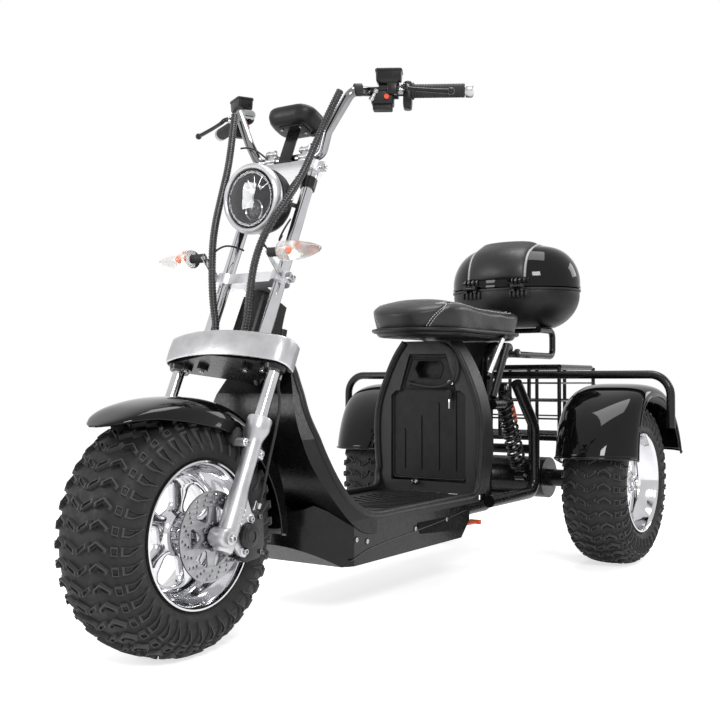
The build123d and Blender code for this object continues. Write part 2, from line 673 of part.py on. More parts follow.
# ---------------------------------------------------------------- front fender
# Its crown and its lower edge in side view, from the tip, and its half plan.
crown_points = [(-200, 454), (-84, 499), (46, 502), (194, 428), (273, 288), (278, 206)]
edge_points = [(-205, 452), (-156, 463), (-72, 462), (36, 443), (148, 382), (214, 278), (232, 196)]
tip_plan = [(34, -186), (56, -163), (73, -131), (87, -84), (FENDER_HALF_WIDTH - 2, -20), (FENDER_HALF_WIDTH + 1, 60)]
with BuildPart() as front_fender:
    with BuildLine() as crown:
        Spline(*[(0, behind(y), z) for y, z in crown_points])
    tip_plane = Plane(origin=crown.line @ 0, x_dir=(1, 0, 0), z_dir=crown.line % 0)
    with BuildSketch(tip_plane) as section:
        with BuildLine():
            w, d = FENDER_HALF_WIDTH, FENDER_DROP
            outer = Spline((-w, d), (-w + 4, d * 0.53), (-w * 0.63, d * 0.16), (0, 0), (w * 0.63, d * 0.16), (w - 4, d * 0.53), (w, d))
            w, wall = w - FENDER_WALL, FENDER_WALL
            inner = Spline((w, d), (w - 4, d * 0.56), (w * 0.63, d * 0.16 + wall), (0, wall), (-w * 0.63, d * 0.16 + wall), (-w + 4, d * 0.56), (-w, d))
            Line(outer @ 1, inner @ 0)
            Line(inner @ 1, outer @ 0)
        make_face()
    sweep(section.sketch, path=crown.line)
    with BuildSketch(side_profile(2 * FENDER_HALF_WIDTH)) as above_edge:
        with BuildLine():
            edge = Spline(*[(behind(y), z) for y, z in edge_points])
            Polyline(edge @ 1, (behind(340), 196), (behind(340), 580), (behind(-270), 580), (behind(-270), 452), edge @ 0)
        make_face()
    extrude(above_edge.sketch, amount=4 * FENDER_HALF_WIDTH, mode=Mode.INTERSECT)
    with BuildSketch(Plane.XY.offset(100)) as plan:
        with BuildLine():
            left = [(x, behind(y)) for x, y in tip_plan]
            nose = Spline(*[(-x, y) for x, y in reversed(left)], (0, behind(-204)), *left)
            Polyline(nose @ 1, (left[-1][0], behind(400)), (-left[-1][0], behind(400)), nose @ 0)
        make_face()
    extrude(plan.sketch, amount=500, mode=Mode.INTERSECT)
save("front_fender", front_fender)

caliper_outline = [(74, 284), (110, 284), (136, 276), (151, 262), (154, 200), (146, 182), (118, 178), (78, 184)]
caliper_outline += [(68, 198), (68, 270)]
with BuildPart() as brake_caliper:
    with BuildSketch(Plane(origin=(DISC_X - 4, FRONT_Y, 0), x_dir=(0, 1, 0), z_dir=(1, 0, 0))) as body:
        with BuildLine():
            Polyline(*caliper_outline, close=True)
        make_face()
        fillet(body.vertices(), 6)
    extrude(body.sketch, amount=BRACKET_X - GAP - DISC_X + 4)
    # its inner half stays within the rim
    with BuildSketch(Plane(origin=(DISC_X - 20, FRONT_Y, 0), x_dir=(0, 1, 0), z_dir=(1, 0, 0))) as inner_half:
        with BuildLine():
            Polyline(*caliper_outline, close=True)
        make_face()
        with Locations((0, AXLE_Z)):
            Circle(RIM_RADIUS - 12, mode=Mode.INTERSECT)
    extrude(inner_half.sketch, amount=17)
    with BuildSketch(Plane(origin=(BRACKET_X - 5, FRONT_Y, 0), x_dir=(0, 1, 0), z_dir=(1, 0, 0))) as outer_half:
        with Locations((128, 231)):
            RectangleRounded(44, 84, 12)
    extrude(outer_half.sketch, amount=14)
    with BuildSketch(across(BRACKET_X - 5, behind(82), AXLE_Z - 8)) as cap:
        Circle(20)
    extrude(cap.sketch, amount=30)
    with BuildSketch(across(DISC_X - GAP * 4, FRONT_Y, AXLE_Z)) as disc_room:
        Circle(DISC_RADIUS + 4)
    extrude(disc_room.sketch, amount=DISC_THICKNESS + GAP * 8, mode=Mode.SUBTRACT)
save("brake_caliper", brake_caliper)

# ---------------------------------------------------------------- cables that turn with the fork
CABLE_END = YOKE_ALONG + YOKE_THICKNESS + GAP
left_route = [(150, -54, 1004), (120, -42, 930), (108, -38, 860), (102, -42, 791), (94, -60, 715)]
left_route += [(72, -66, 650), (50, -52, 587), (40, -26, 515), (34, 2, 450), (34, 2, CABLE_END)]
right_route = [(-150, -54, 991), (-122, -48, 865), (-105, -54, 758), (-84, -62, 655)]
right_route += [(-70, -48, 575), (-60, -22, 500), (-44, 2, 440), (-44, 2, CABLE_END)]
hose_route = [(125, 89, 86), (132, 82, 110), (146, 56, 180), (152, 44, 250), (142, 44, 305)]
hose_route += [(122, 46, 336), (122, 46, YOKE_ALONG - 1)]

with BuildPart() as loom_left:
    cable([on_fork(*p) for p in left_route], LOOM_RADIUS)
save("loom_left", loom_left)

with BuildPart() as loom_right:
    cable([on_fork(*p) for p in right_route], LOOM_RADIUS)
save("loom_right", loom_right)

with BuildPart() as brake_hose:
    cable([on_fork(*p) for p in hose_route], HOSE_RADIUS)
save("brake_hose", brake_hose)

# ---------------------------------------------------------------- frame
STEM_LOW = YOKE_ALONG + YOKE_THICKNESS + 3
STEM_HIGH = MID_CLAMP_ALONG - 3
with BuildPart() as main_frame:
    with BuildSketch(fork_level(STEM_LOW)):
        with Locations((0, STEM_BACK)):
            Circle(HEAD_TUBE_RADIUS)
    extrude(amount=STEM_HIGH - STEM_LOW)
    neck = on_fork(0, STEM_BACK + 4, (STEM_LOW + STEM_HIGH) / 2)
    backbone = [
        (0, neck.Y, neck.Z),
        (0, behind(278), 540),
        (0, behind(300), 400),
        (0, behind(392), RAIL_Z + 40),
        (0, behind(480), RAIL_Z),
        (0, behind(560), RAIL_Z),
    ]
    run_tube(backbone, FRAME_TUBE_RADIUS, bend=40)
    for cross_y, cross_z in ((560, RAIL_Z), (POST_BEHIND - 90, RAIL_Z), (POST_BEHIND + 15, 560)):
        run_tube([(-RAIL_X, behind(cross_y), cross_z), (RAIL_X, behind(cross_y), cross_z)], CROSS_TUBE_RADIUS)
    for side in SIDES:
        rail = [
            (side * RAIL_X, behind(560), RAIL_Z),
            (side * RAIL_X, behind(POST_BEHIND), RAIL_Z),
            (side * RAIL_X, behind(POST_BEHIND + 16), 600),
            (side * RAIL_X, behind(POST_BEHIND + 50), SEAT_BASE_Z - FRAME_TUBE_RADIUS - GAP),
            (side * RAIL_X, behind(POST_BEHIND + 150), SEAT_BASE_Z - FRAME_TUBE_RADIUS - GAP),
        ]
        run_tube(rail, FRAME_TUBE_RADIUS, bend=16)
        outrigger = [(side * RAIL_X, behind(POST_BEHIND + 13), 470), (side * 148, behind(POST_BEHIND), 470)]
        outrigger += [(side * 148, behind(POST_BEHIND - 74), 470)]
        run_tube(outrigger, CROSS_TUBE_RADIUS, bend=20)
    with BuildSketch(fork_level(STEM_LOW)):
        with Locations((0, STEM_BACK)):
            Circle(STEM_RADIUS + FIT)
    extrude(amount=STEM_HIGH - STEM_LOW, mode=Mode.SUBTRACT)
    with BuildSketch(across(STAND_X - STAND_LUG_HALF, behind(STAND_BEHIND), STAND_Z)):
        with BuildLine():
            Polyline((-7, -7), (7, -7), (26, RAIL_Z - STAND_Z), (4, RAIL_Z - STAND_Z), (-7, 6), close=True)
        make_face()
    extrude(amount=2 * STAND_LUG_HALF)
    pin_half = STAND_LUG_HALF + GAP + 14 + GAP
    with BuildSketch(across(STAND_X - pin_half, behind(STAND_BEHIND), STAND_Z)):
        Circle(STAND_PIN_RADIUS)
    extrude(amount=2 * pin_half)
save("main_frame", main_frame)


def shield_outline(grow):
    """The leg shield's side view, with its front edge moved out by a gap."""
    neck_top = MID_CLAMP_ALONG - 11
    neck_points = [on_fork(0, b, a) for b, a in ((100, neck_top), (42, neck_top), (42, 398), (120, 398), (120, 350))]
    front_points = [(262, 372), (345, 268), (437, 200), (500, FLOOR_Z - 36)]
    rear_points = [(500, FLOOR_Z), (436, FLOOR_Z + 22), (366, 302), (305, 412), (285, 510)]
    with BuildSketch(side_profile(FLOOR_HALF_WIDTH + 60)) as outline:
        with BuildLine():
            top = Polyline(*[(p.Y, p.Z) for p in neck_points])
            throat = Line(top @ 1, ((top @ 1).X - 1.5 * grow, (top @ 1).Y - 1.5 * grow)) if grow else top
            edge = [(behind(y) - 1.5 * grow, z - 1.5 * grow) for y, z in front_points[:-1]]
            heel = (behind(front_points[-1][0]) + grow, front_points[-1][1] - 1.5 * grow)
            front = Spline(throat @ 1, *edge, heel)
            end = Line(front @ 1, (heel[0], rear_points[0][1]))
            Spline(end @ 1, *[(behind(y), z) for y, z in rear_points[1:]], top @ 0)
        make_face()
    return outline.sketch


def front_outline():
    """The leg shield's front view."""
    half = [(38, 760), (42, 620), (84, 556), (108, 505), (135, 412), (154, 300), (FLOOR_HALF_WIDTH, 226)]
    half += [(FLOOR_HALF_WIDTH, 100)]
    with BuildSketch(facing_back(behind(150))) as outline:
        with BuildLine():
            Polyline(*half, *[(-x, z) for x, z in reversed(half)], close=True)
        make_face()
    return outline.sketch


def frame_channel():
    """Cuts the backbone's and head tube's room out of a body panel."""
    run_tube(backbone, FRAME_TUBE_RADIUS + BODY_CHANNEL, bend=40, mode=Mode.SUBTRACT)
    with BuildSketch(fork_level(STEM_LOW - 30)) as room:
        with Locations((0, STEM_BACK)):
            Circle(HEAD_TUBE_RADIUS + BODY_CHANNEL)
    extrude(room.sketch, amount=STEM_HIGH - STEM_LOW + 60, mode=Mode.SUBTRACT)


with BuildPart() as leg_shield:
    extrude(shield_outline(0), amount=2 * (FLOOR_HALF_WIDTH + 60))
    extrude(front_outline(), amount=500, mode=Mode.INTERSECT)
    frame_channel()
save("leg_shield", leg_shield)

def belly_outline(inset):
    """The belly pan's side view, inset by its wall. It is open upwards."""
    top = FLOOR_Z - FLOOR_THICKNESS - GAP + inset
    with BuildSketch(side_profile(FLOOR_HALF_WIDTH - 2 - inset)) as outline:
        with BuildLine():
            Polyline(
                (behind(318) + inset, 172 + inset / 2),
                (behind(385) + inset / 3, BELLY_Z + inset),
                (behind(BELLY_REAR - 48) - inset / 3, BELLY_Z + inset),
                (behind(BELLY_REAR - 3) - inset, 167 + inset / 2),
                (behind(BELLY_REAR) - inset, top),
                (behind(420), top),
                (behind(345), 262 + inset),
                (behind(318) + inset, 240 + inset),
                close=True,
            )
        make_face()
    return outline.sketch


def belly_plan(inset):
    """The belly pan seen from above, with its rounded nose."""
    w = FLOOR_HALF_WIDTH - 2 - inset
    with BuildSketch(Plane.XY.offset(BELLY_Z - 10)) as outline:
        with BuildLine():
            tail_y = behind(BELLY_REAR + 10)
            tail = Polyline((-w, behind(410)), (-w, tail_y), (w, tail_y), (w, behind(410)))
            ThreePointArc(tail @ 1, (0, behind(318) + inset), tail @ 0)
        make_face()
    return outline.sketch


def belly_solid(inset):
    """The belly pan's outside, or its inside."""
    with BuildPart() as body:
        extrude(belly_outline(inset), amount=2 * (FLOOR_HALF_WIDTH - 2 - inset))
        extrude(belly_plan(inset), amount=200, mode=Mode.INTERSECT)
    return body.part


with BuildPart() as belly_pan:
    add(belly_solid(0))
    add(belly_solid(PANEL_WALL), mode=Mode.SUBTRACT)
    extrude(shield_outline(GAP), amount=2 * (FLOOR_HALF_WIDTH + 60), mode=Mode.SUBTRACT)
    frame_channel()
    for side in SIDES:
        rail_exit = [(side * RAIL_X, behind(BELLY_REAR + y), RAIL_Z) for y in (-60, 40)]
        run_tube(rail_exit, FRAME_TUBE_RADIUS + BODY_CHANNEL, mode=Mode.SUBTRACT)
save("belly_pan", belly_pan)

with BuildPart() as footboard:
    with BuildSketch(Plane.XY.offset(FLOOR_Z - FLOOR_THICKNESS)):
        with Locations((0, behind((FLOOR_FRONT + TOWER_BEHIND) / 2))):
            Rectangle(2 * FLOOR_HALF_WIDTH, TOWER_BEHIND - FLOOR_FRONT)
    extrude(amount=FLOOR_THICKNESS)
    for side in SIDES:
        with BuildSketch(Plane.XY.offset(FLOOR_Z)):
            with Locations((side * (FLOOR_HALF_WIDTH - 6), behind((FLOOR_FRONT + TOWER_BEHIND) / 2))):
                Rectangle(12, TOWER_BEHIND - FLOOR_FRONT)
        extrude(amount=8)
    with BuildSketch(Plane.XY.offset(FLOOR_Z)) as treads:
        for tread in range(FLOOR_RIBS):
            y = behind(610 + tread * 32)
            with BuildLine():
                Polyline((-96, y + 44), (0, y), (96, y + 44), (96, y + 54), (0, y + 10), (-96, y + 54), close=True)
            make_face()
    extrude(treads.sketch, amount=FLOOR_RIB)
save("footboard", footboard)

battery_half = [
    (BATTERY_HALF_WIDTH, BATTERY_BASE_Z),
    (BATTERY_HALF_WIDTH, BATTERY_TOP_Z - 116),
    (BATTERY_HALF_WIDTH - 16, BATTERY_TOP_Z - 102),
    (BATTERY_HALF_WIDTH - 28, BATTERY_TOP_Z - 102),
    (BATTERY_HALF_WIDTH - 60, BATTERY_TOP_Z),
]
with BuildPart() as battery:
    with BuildSketch(facing_back(behind(BATTERY_BEHIND))):
        with BuildLine():
            Polyline(*battery_half, *[(-x, z) for x, z in reversed(battery_half)], close=True)
        make_face()
    extrude(amount=BATTERY_DEPTH)
    with BuildSketch(facing_back(behind(BATTERY_BEHIND) - BATTERY_RIB)) as ribs:
        for x, top in ((-82, 402), (-28, 440), (28, 478), (82, 510)):
            with Locations((-x, (BATTERY_BASE_Z + 26 + top) / 2)):
                SlotOverall(top - BATTERY_BASE_Z - 26, 8, rotation=90)
    extrude(ribs.sketch, amount=BATTERY_RIB + 1)
    with BuildSketch(facing_back(behind(BATTERY_BEHIND))) as recess:
        with BuildLine():
            grip = [(44, BATTERY_TOP_Z - 40), (32, BATTERY_TOP_Z - 20), (-32, BATTERY_TOP_Z - 20)]
            grip += [(-44, BATTERY_TOP_Z - 40), (-32, BATTERY_TOP_Z - 66), (32, BATTERY_TOP_Z - 66)]
            Polyline(*grip, close=True)
        make_face()
    extrude(recess.sketch, amount=28, mode=Mode.SUBTRACT)
save("battery", battery)

with BuildPart() as tower:
    with BuildSketch(facing_back(behind(TOWER_BEHIND))) as arch:
        with BuildLine():
            base = Line((-150, FLOOR_Z + GAP), (150, FLOOR_Z + GAP))
            right = Spline(base @ 1, (169, 300), (170, 430), (148, 520), (104, 612), (78, 648))
            crown = Line(right @ 1, (-78, 648))
            Spline(crown @ 1, (-104, 612), (-148, 520), (-170, 430), (-169, 300), base @ 0)
        make_face()
        with BuildLine():
            Polyline(*battery_half, *[(-x, z) for x, z in reversed(battery_half)], close=True)
        make_face(mode=Mode.SUBTRACT)
        with Locations((0, BATTERY_BASE_Z + 60)):
            Rectangle(2 * BATTERY_HALF_WIDTH + 2 * GAP, 130, mode=Mode.SUBTRACT)
    extrude(amount=60)
save("tower", tower)

# ---------------------------------------------------------------- seat and top case
with BuildPart() as seat_base:
    with BuildSketch(Plane.XY.offset(SEAT_BASE_Z)):
        with Locations((0, behind((SEAT_FRONT + SEAT_REAR) / 2))):
            SlotOverall(SEAT_REAR - SEAT_FRONT - 8, 2 * SEAT_HALF_WIDTH - 8, rotation=90)
    extrude(amount=SEAT_BASE_THICKNESS - GAP)
save("seat_base", seat_base)

with BuildPart() as seat_cushion:
    with BuildSketch(Plane.XY.offset(SEAT_BASE_Z + SEAT_BASE_THICKNESS)):
        with Locations((0, behind((SEAT_FRONT + SEAT_REAR) / 2))):
            SlotOverall(SEAT_REAR - SEAT_FRONT, 2 * SEAT_HALF_WIDTH, rotation=90)
    extrude(amount=SEAT_TOP_Z - SEAT_BASE_Z - SEAT_BASE_THICKNESS)
    fillet(seat_cushion.edges().group_by(Axis.Z)[-1], 28)
save("seat_cushion", seat_cushion)

def case_section(z, shrink):
    """A level section of the top case, shrunk from its belt."""
    with BuildSketch(Plane.XY.offset(z)) as section:
        with Locations((0, behind(CASE_BEHIND))):
            Ellipse(CASE_HALF_WIDTH - shrink, CASE_HALF_LENGTH - shrink * 0.82)
    return section.sketch


def case_dome(grow):
    """The outside of the case's lid, grown by a gap or shrunk by a wall."""
    levels = ((0, 0), (60, 6), (105, 34), (CASE_TOP_Z - CASE_BELT_Z, 96))
    return loft([case_section(CASE_BELT_Z + z + (grow if z else 0), shrink - grow) for z, shrink in levels], mode=Mode.PRIVATE)


def case_bowl(grow):
    """The outside of the case's lower half, shrunk by a wall."""
    levels = ((4, 2), (56, 8), (96, 36), (CASE_BELT_Z - CASE_BASE_Z, 84))
    return loft([case_section(CASE_BELT_Z - z - (grow if z > 4 else 0), shrink - grow) for z, shrink in levels], mode=Mode.PRIVATE)


def belt_rim(z):
    """Adds the raised rim that runs round one half of the case beside its belt."""
    with BuildSketch(Plane.XY.offset(z)) as rim:
        with Locations((0, behind(CASE_BEHIND))):
            Ellipse(CASE_HALF_WIDTH + CASE_WALL, CASE_HALF_LENGTH + CASE_WALL)
            Ellipse(CASE_HALF_WIDTH - CASE_WALL, CASE_HALF_LENGTH - CASE_WALL, mode=Mode.SUBTRACT)
    extrude(rim.sketch, amount=CASE_RIM_HEIGHT)


def hinge_arm(x, width, low, high):
    """Adds a hinge's arm from the hinge's axis back to the case's wall, with its round end."""
    with BuildSketch(across(x - width / 2, behind(HINGE_BEHIND), HINGE_Z)) as arm:
        Circle(HINGE_RADIUS)
        with BuildLine():
            Polyline((0, low), (CASE_BEHIND - CASE_HALF_LENGTH + 16 - HINGE_BEHIND, low),
                     (CASE_BEHIND - CASE_HALF_LENGTH + 16 - HINGE_BEHIND, high), (0, high), close=True)
        make_face()
    extrude(arm.sketch, amount=width)


with BuildPart() as case_base:
    add(case_bowl(0))
    add(case_bowl(-CASE_WALL), mode=Mode.SUBTRACT)
    belt_rim(CASE_BELT_Z - 4 - CASE_RIM_HEIGHT)
    for side in SIDES:
        for outward in (-1, 1):
            lug_x = side * HINGE_X + outward * (HINGE_WIDTH / 2 + 1 + HINGE_LUG / 2)
            hinge_arm(lug_x, HINGE_LUG, -14, -4)
        pin_reach = HINGE_WIDTH / 2 + 1 + HINGE_LUG
        with BuildSketch(across(side * HINGE_X - pin_reach, behind(HINGE_BEHIND), HINGE_Z)) as pin:
            Circle(HINGE_PIN_RADIUS)
        extrude(pin.sketch, amount=2 * pin_reach)
save("case_base", case_base)

with BuildPart() as case_lid:
    add(case_dome(0))
    add(case_dome(-CASE_WALL), mode=Mode.SUBTRACT)
    belt_rim(CASE_BELT_Z)
    for side in SIDES:
        hinge_arm(side * HINGE_X, HINGE_WIDTH, 3, 8)
        with BuildSketch(across(side * HINGE_X - HINGE_WIDTH, behind(HINGE_BEHIND), HINGE_Z)) as bore:
            Circle(HINGE_PIN_RADIUS + FIT)
        extrude(bore.sketch, amount=2 * HINGE_WIDTH, mode=Mode.SUBTRACT)
save("case_lid", case_lid)

with BuildPart() as backrest_pad:
    with BuildSketch(Plane.XY.offset(CASE_BELT_Z + 16)):
        with Locations((0, behind(CASE_BEHIND - CASE_HALF_LENGTH / 2))):
            Rectangle(2 * PAD_HALF_WIDTH, CASE_HALF_LENGTH + 60)
    extrude(amount=200)
    add(case_dome(PAD_THICKNESS), mode=Mode.INTERSECT)
    add(case_dome(GAP), mode=Mode.SUBTRACT)
save("backrest_pad", backrest_pad)

with BuildPart() as case_latch:
    with BuildSketch(Plane.XY.offset(CASE_BELT_Z - 20)):
        with Locations((0, behind(CASE_BEHIND + CASE_HALF_LENGTH + CASE_WALL + 7))):
            Rectangle(36, 13)
    extrude(amount=44)
save("case_latch", case_latch)

with BuildPart() as seat_box:
    with BuildSketch(Plane.XY.offset(SEAT_BASE_Z - 84)):
        with Locations((0, behind(POST_BEHIND + 90))):
            Rectangle(140, 110)
    extrude(amount=84 - GAP)
save("seat_box", seat_box)

RACK_Z = CASE_BASE_Z - RACK_TUBE_RADIUS - GAP
RACK_HALF_WIDTH = RAIL_X + FRAME_TUBE_RADIUS + RACK_TUBE_RADIUS + 1
with BuildPart() as rack:
    for side in SIDES:
        stay = [
            (side * 140, behind(POST_BEHIND + 40), SEAT_BASE_Z - RACK_TUBE_RADIUS - GAP),
            (side * 148, behind(POST_BEHIND - 70), 490),
        ]
        run_tube(stay, RACK_TUBE_RADIUS)
        hoop = [
            (side * RACK_HALF_WIDTH, behind(POST_BEHIND + 70), 616),
            (side * RACK_HALF_WIDTH, behind(CASE_BEHIND + 22), 616),
            (side * RACK_HALF_WIDTH, behind(CASE_BEHIND + 22), RACK_Z),
            (side * RACK_HALF_WIDTH, behind(CASE_BEHIND - 90), RACK_Z),
        ]
        run_tube(hoop, RACK_TUBE_RADIUS, bend=24)
    for cross_y, cross_z in ((POST_BEHIND + 200, 616), (CASE_BEHIND - 40, RACK_Z)):
        cross_ends = [(-RACK_HALF_WIDTH, behind(cross_y), cross_z), (RACK_HALF_WIDTH, behind(cross_y), cross_z)]
        run_tube(cross_ends, RACK_TUBE_RADIUS - 2)
save("rack", rack)

# ---------------------------------------------------------------- rear carriage
with BuildPart() as rear_carriage:
    for side in SIDES:
        loop = [
            (side * FRAME_HALF_WIDTH, behind(POST_BEHIND - 100), 202),
            (side * FRAME_HALF_WIDTH, behind(WHEELBASE - 79), 202),
            (side * FRAME_HALF_WIDTH, behind(WHEELBASE - 79), 400),
            (side * FRAME_HALF_WIDTH, behind(POST_BEHIND + 80), 530),
        ]
        run_tube(loop, FRAME_TUBE_RADIUS, bend=44)
    for cross_y, cross_z in ((WHEELBASE - 143, 202), (WHEELBASE - 79, 330)):
        cross_ends = [(x, behind(cross_y), cross_z) for x in (-FRAME_HALF_WIDTH, FRAME_HALF_WIDTH)]
        run_tube(cross_ends, CROSS_TUBE_RADIUS)
save("rear_carriage", rear_carriage)

with BuildPart() as axle_housing:
    with BuildSketch(across(-165, REAR_Y, AXLE_Z)):
        Circle(62)
    extrude(amount=330)
    reach = TRACK / 2 - RIM_HALF_WIDTH * 0.62 - SWING
    with BuildSketch(across(-reach, REAR_Y, AXLE_Z)):
        Circle(26)
    extrude(amount=2 * reach)
    half_axle = TRACK / 2 + RIM_HALF_WIDTH * 0.62 + 14
    with BuildSketch(across(-half_axle, REAR_Y, AXLE_Z)):
        Circle(REAR_AXLE_RADIUS)
    extrude(amount=2 * half_axle)
save("axle_housing", axle_housing)

def fender_dome(inset):
    """The outside of the left rear fender, or its inside, before its lower edge is cut."""
    inner_x, outer_x = REAR_FENDER_INNER_X + inset, REAR_FENDER_OUTER_X - inset
    front_y = REAR_Y - REAR_FENDER_RADIUS - 2 + inset
    with BuildPart() as dome:
        with BuildSketch(across(inner_x, REAR_Y, AXLE_Z)):
            Circle(REAR_FENDER_RADIUS - inset)
        extrude(amount=outer_x - inner_x)
        fillet(dome.edges().filter_by(GeomType.CIRCLE), REAR_FENDER_EDGE - inset)
        with BuildSketch(Plane.XY.offset(AXLE_Z)) as plan:
            with BuildLine():
                inner_bow = REAR_FENDER_INNER_BOW - inset
                outer_bow = REAR_FENDER_OUTER_BOW - inset
                rear = Polyline((inner_x, front_y + inner_bow), (inner_x, REAR_Y + 400), (outer_x, REAR_Y + 400))
                flank = Line(rear @ 1, (outer_x, front_y + outer_bow))
                brow = RadiusArc(flank @ 1, (outer_x - outer_bow, front_y), outer_bow)
                nose = Line(brow @ 1, (inner_x + inner_bow, front_y))
                RadiusArc(nose @ 1, rear @ 0, inner_bow)
            make_face()
        extrude(plan.sketch, amount=REAR_FENDER_RADIUS + 10, mode=Mode.INTERSECT)
    return dome.part


with BuildPart() as rear_fenders:
    add(fender_dome(0))
    add(fender_dome(FENDER_WALL), mode=Mode.SUBTRACT)
    with BuildSketch(facing_back(REAR_Y - 400)) as under:
        with BuildLine():
            edge = Spline((-REAR_FENDER_INNER_X + 2, 352), (-330, 326), (-430, 318), (-REAR_FENDER_OUTER_X - 2, 327))
            Polyline(edge @ 1, (-REAR_FENDER_OUTER_X - 2, 200), (-REAR_FENDER_INNER_X + 2, 200), edge @ 0)
        make_face()
    extrude(under.sketch, amount=800, mode=Mode.SUBTRACT)
    with BuildSketch(across(REAR_FENDER_OUTER_X - 60, REAR_Y, AXLE_Z)):
        Circle(REAR_FENDER_ARCH_RADIUS)
    extrude(amount=80, mode=Mode.SUBTRACT)
    mirror(about=Plane.YZ)
save("rear_fenders", rear_fenders)

with BuildPart() as guard_rail:
    rail_y = behind(WHEELBASE - 43)
    rail = [
        (-553, rail_y, 403),
        (-553, rail_y, 555),
        (553, rail_y, 555),
        (553, rail_y, 403),
    ]
    run_tube(rail, RAIL_TUBE_RADIUS, bend=60)
save("guard_rail", guard_rail)

with BuildPart() as basket:
    basket_front, basket_rear = behind(WHEELBASE - 3), behind(WHEELBASE + 283)
    for z in (360, 555 + 2 * RAIL_TUBE_RADIUS + GAP):
        rim_points = [
            (-200, basket_front, z),
            (-200, basket_rear, z),
            (200, basket_rear, z),
            (200, basket_front, z),
        ]
        run_tube(rim_points, 8, bend=30)
        run_tube([(-200, basket_front, z), (200, basket_front, z)], 8)
    for x in (-200, -100, 0, 100, 200):
        for y in (basket_front, basket_rear):
            run_tube([(x, y, 360), (x, y, 580)], 6)
save("basket", basket)

with BuildPart() as shocks:
    for side in SIDES:
        top_eye = Vector(side * SHOCK_X, behind(POST_BEHIND + 46), 516)
        low_eye = Vector(side * SHOCK_X, behind(WHEELBASE - 107), 252)
        run = low_eye - top_eye
        pitch = (run.length - 2 * SHOCK_END) / SHOCK_COILS
        wave = [(SHOCK_RADIUS - 11, 0), (SHOCK_RADIUS - 11, SHOCK_END)]
        for coil in range(SHOCK_COILS):
            start = SHOCK_END + coil * pitch
            wave += [(SHOCK_RADIUS - 4, start + pitch * 0.1), (SHOCK_RADIUS, start + pitch * 0.3)]
            wave += [(SHOCK_RADIUS, start + pitch * 0.5), (SHOCK_RADIUS - 4, start + pitch * 0.7)]
            wave += [(SHOCK_RADIUS - 11, start + pitch * 0.9)]
        wave += [(SHOCK_RADIUS - 11, run.length - SHOCK_END), (SHOCK_RADIUS - 11, run.length)]
        section = Plane(origin=top_eye, x_dir=(side, 0, 0), z_dir=Vector(side, 0, 0).cross(run))
        with BuildSketch(section) as half:
            with BuildLine():
                Polyline((0, 0), *wave, (0, run.length), close=True)
            make_face()
        revolve(half.sketch, axis=Axis(top_eye, run))
        for eye in (top_eye, low_eye):
            with BuildSketch(across(side * SHOCK_X - 14, eye.Y, eye.Z)) as ring:
                Circle(SHOCK_EYE_RADIUS)
            extrude(ring.sketch, amount=28)
save("shocks", shocks)

# The stand's barrels sit on a pin on both sides of a lug under the left rail.
BARREL_RADIUS = STAND_PIN_RADIUS + 4
BARREL_LENGTH = 14.0
TIP_Z = STAND_Z - 5
with BuildPart() as side_stand:
    for side in SIDES:
        barrel = STAND_X + side * (STAND_LUG_HALF + GAP + BARREL_LENGTH / 2)
        with BuildSketch(across(barrel - BARREL_LENGTH / 2, behind(STAND_BEHIND), STAND_Z)):
            Circle(BARREL_RADIUS)
        extrude(amount=BARREL_LENGTH)
        rod = [(barrel, behind(STAND_BEHIND + 6), STAND_Z), (STAND_X + 4 + side * 3, behind(STAND_BEHIND + STAND_REACH), TIP_Z)]
        run_tube(rod, STAND_ROD_RADIUS)
    with BuildSketch(across(STAND_X - 12, behind(STAND_BEHIND + STAND_REACH), TIP_Z)):
        Circle(STAND_ROD_RADIUS + 1)
    extrude(amount=32)
    with BuildSketch(across(STAND_X - 60, behind(STAND_BEHIND), STAND_Z)):
        Circle(STAND_PIN_RADIUS + FIT)
    extrude(amount=120, mode=Mode.SUBTRACT)
save("side_stand", side_stand)
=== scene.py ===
from math import copysign, cos, exp, hypot, pi, radians, sin, sqrt, tan

import bmesh
import bpy
import numpy as np
from mathutils import Matrix, Vector


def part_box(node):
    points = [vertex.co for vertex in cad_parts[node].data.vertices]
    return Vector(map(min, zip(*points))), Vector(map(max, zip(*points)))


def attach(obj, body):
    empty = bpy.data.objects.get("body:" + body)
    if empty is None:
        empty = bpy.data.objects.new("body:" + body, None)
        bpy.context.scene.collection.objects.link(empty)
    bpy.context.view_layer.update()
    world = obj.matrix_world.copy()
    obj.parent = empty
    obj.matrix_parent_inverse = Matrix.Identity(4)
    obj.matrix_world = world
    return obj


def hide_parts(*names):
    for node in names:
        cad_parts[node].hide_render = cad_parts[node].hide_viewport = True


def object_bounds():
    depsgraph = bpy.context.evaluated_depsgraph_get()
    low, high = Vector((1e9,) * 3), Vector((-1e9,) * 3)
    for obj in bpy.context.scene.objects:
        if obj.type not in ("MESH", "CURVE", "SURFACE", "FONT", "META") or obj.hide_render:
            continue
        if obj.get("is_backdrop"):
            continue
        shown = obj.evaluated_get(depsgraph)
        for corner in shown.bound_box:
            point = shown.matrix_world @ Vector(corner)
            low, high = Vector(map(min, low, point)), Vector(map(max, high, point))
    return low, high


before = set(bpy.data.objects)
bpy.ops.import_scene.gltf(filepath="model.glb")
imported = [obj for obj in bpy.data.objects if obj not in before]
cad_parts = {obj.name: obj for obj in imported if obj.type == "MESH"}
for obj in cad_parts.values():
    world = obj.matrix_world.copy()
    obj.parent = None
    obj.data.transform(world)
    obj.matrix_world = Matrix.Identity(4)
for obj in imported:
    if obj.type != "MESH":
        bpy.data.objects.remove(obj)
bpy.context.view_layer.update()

# -------- places, in millimetres
MM = 0.001
FRONT_Y, WHEELBASE, AXLE_Z = -760.0, 1473.0, 240.0
REAR_Y = FRONT_Y + WHEELBASE
TRACK = 750.0
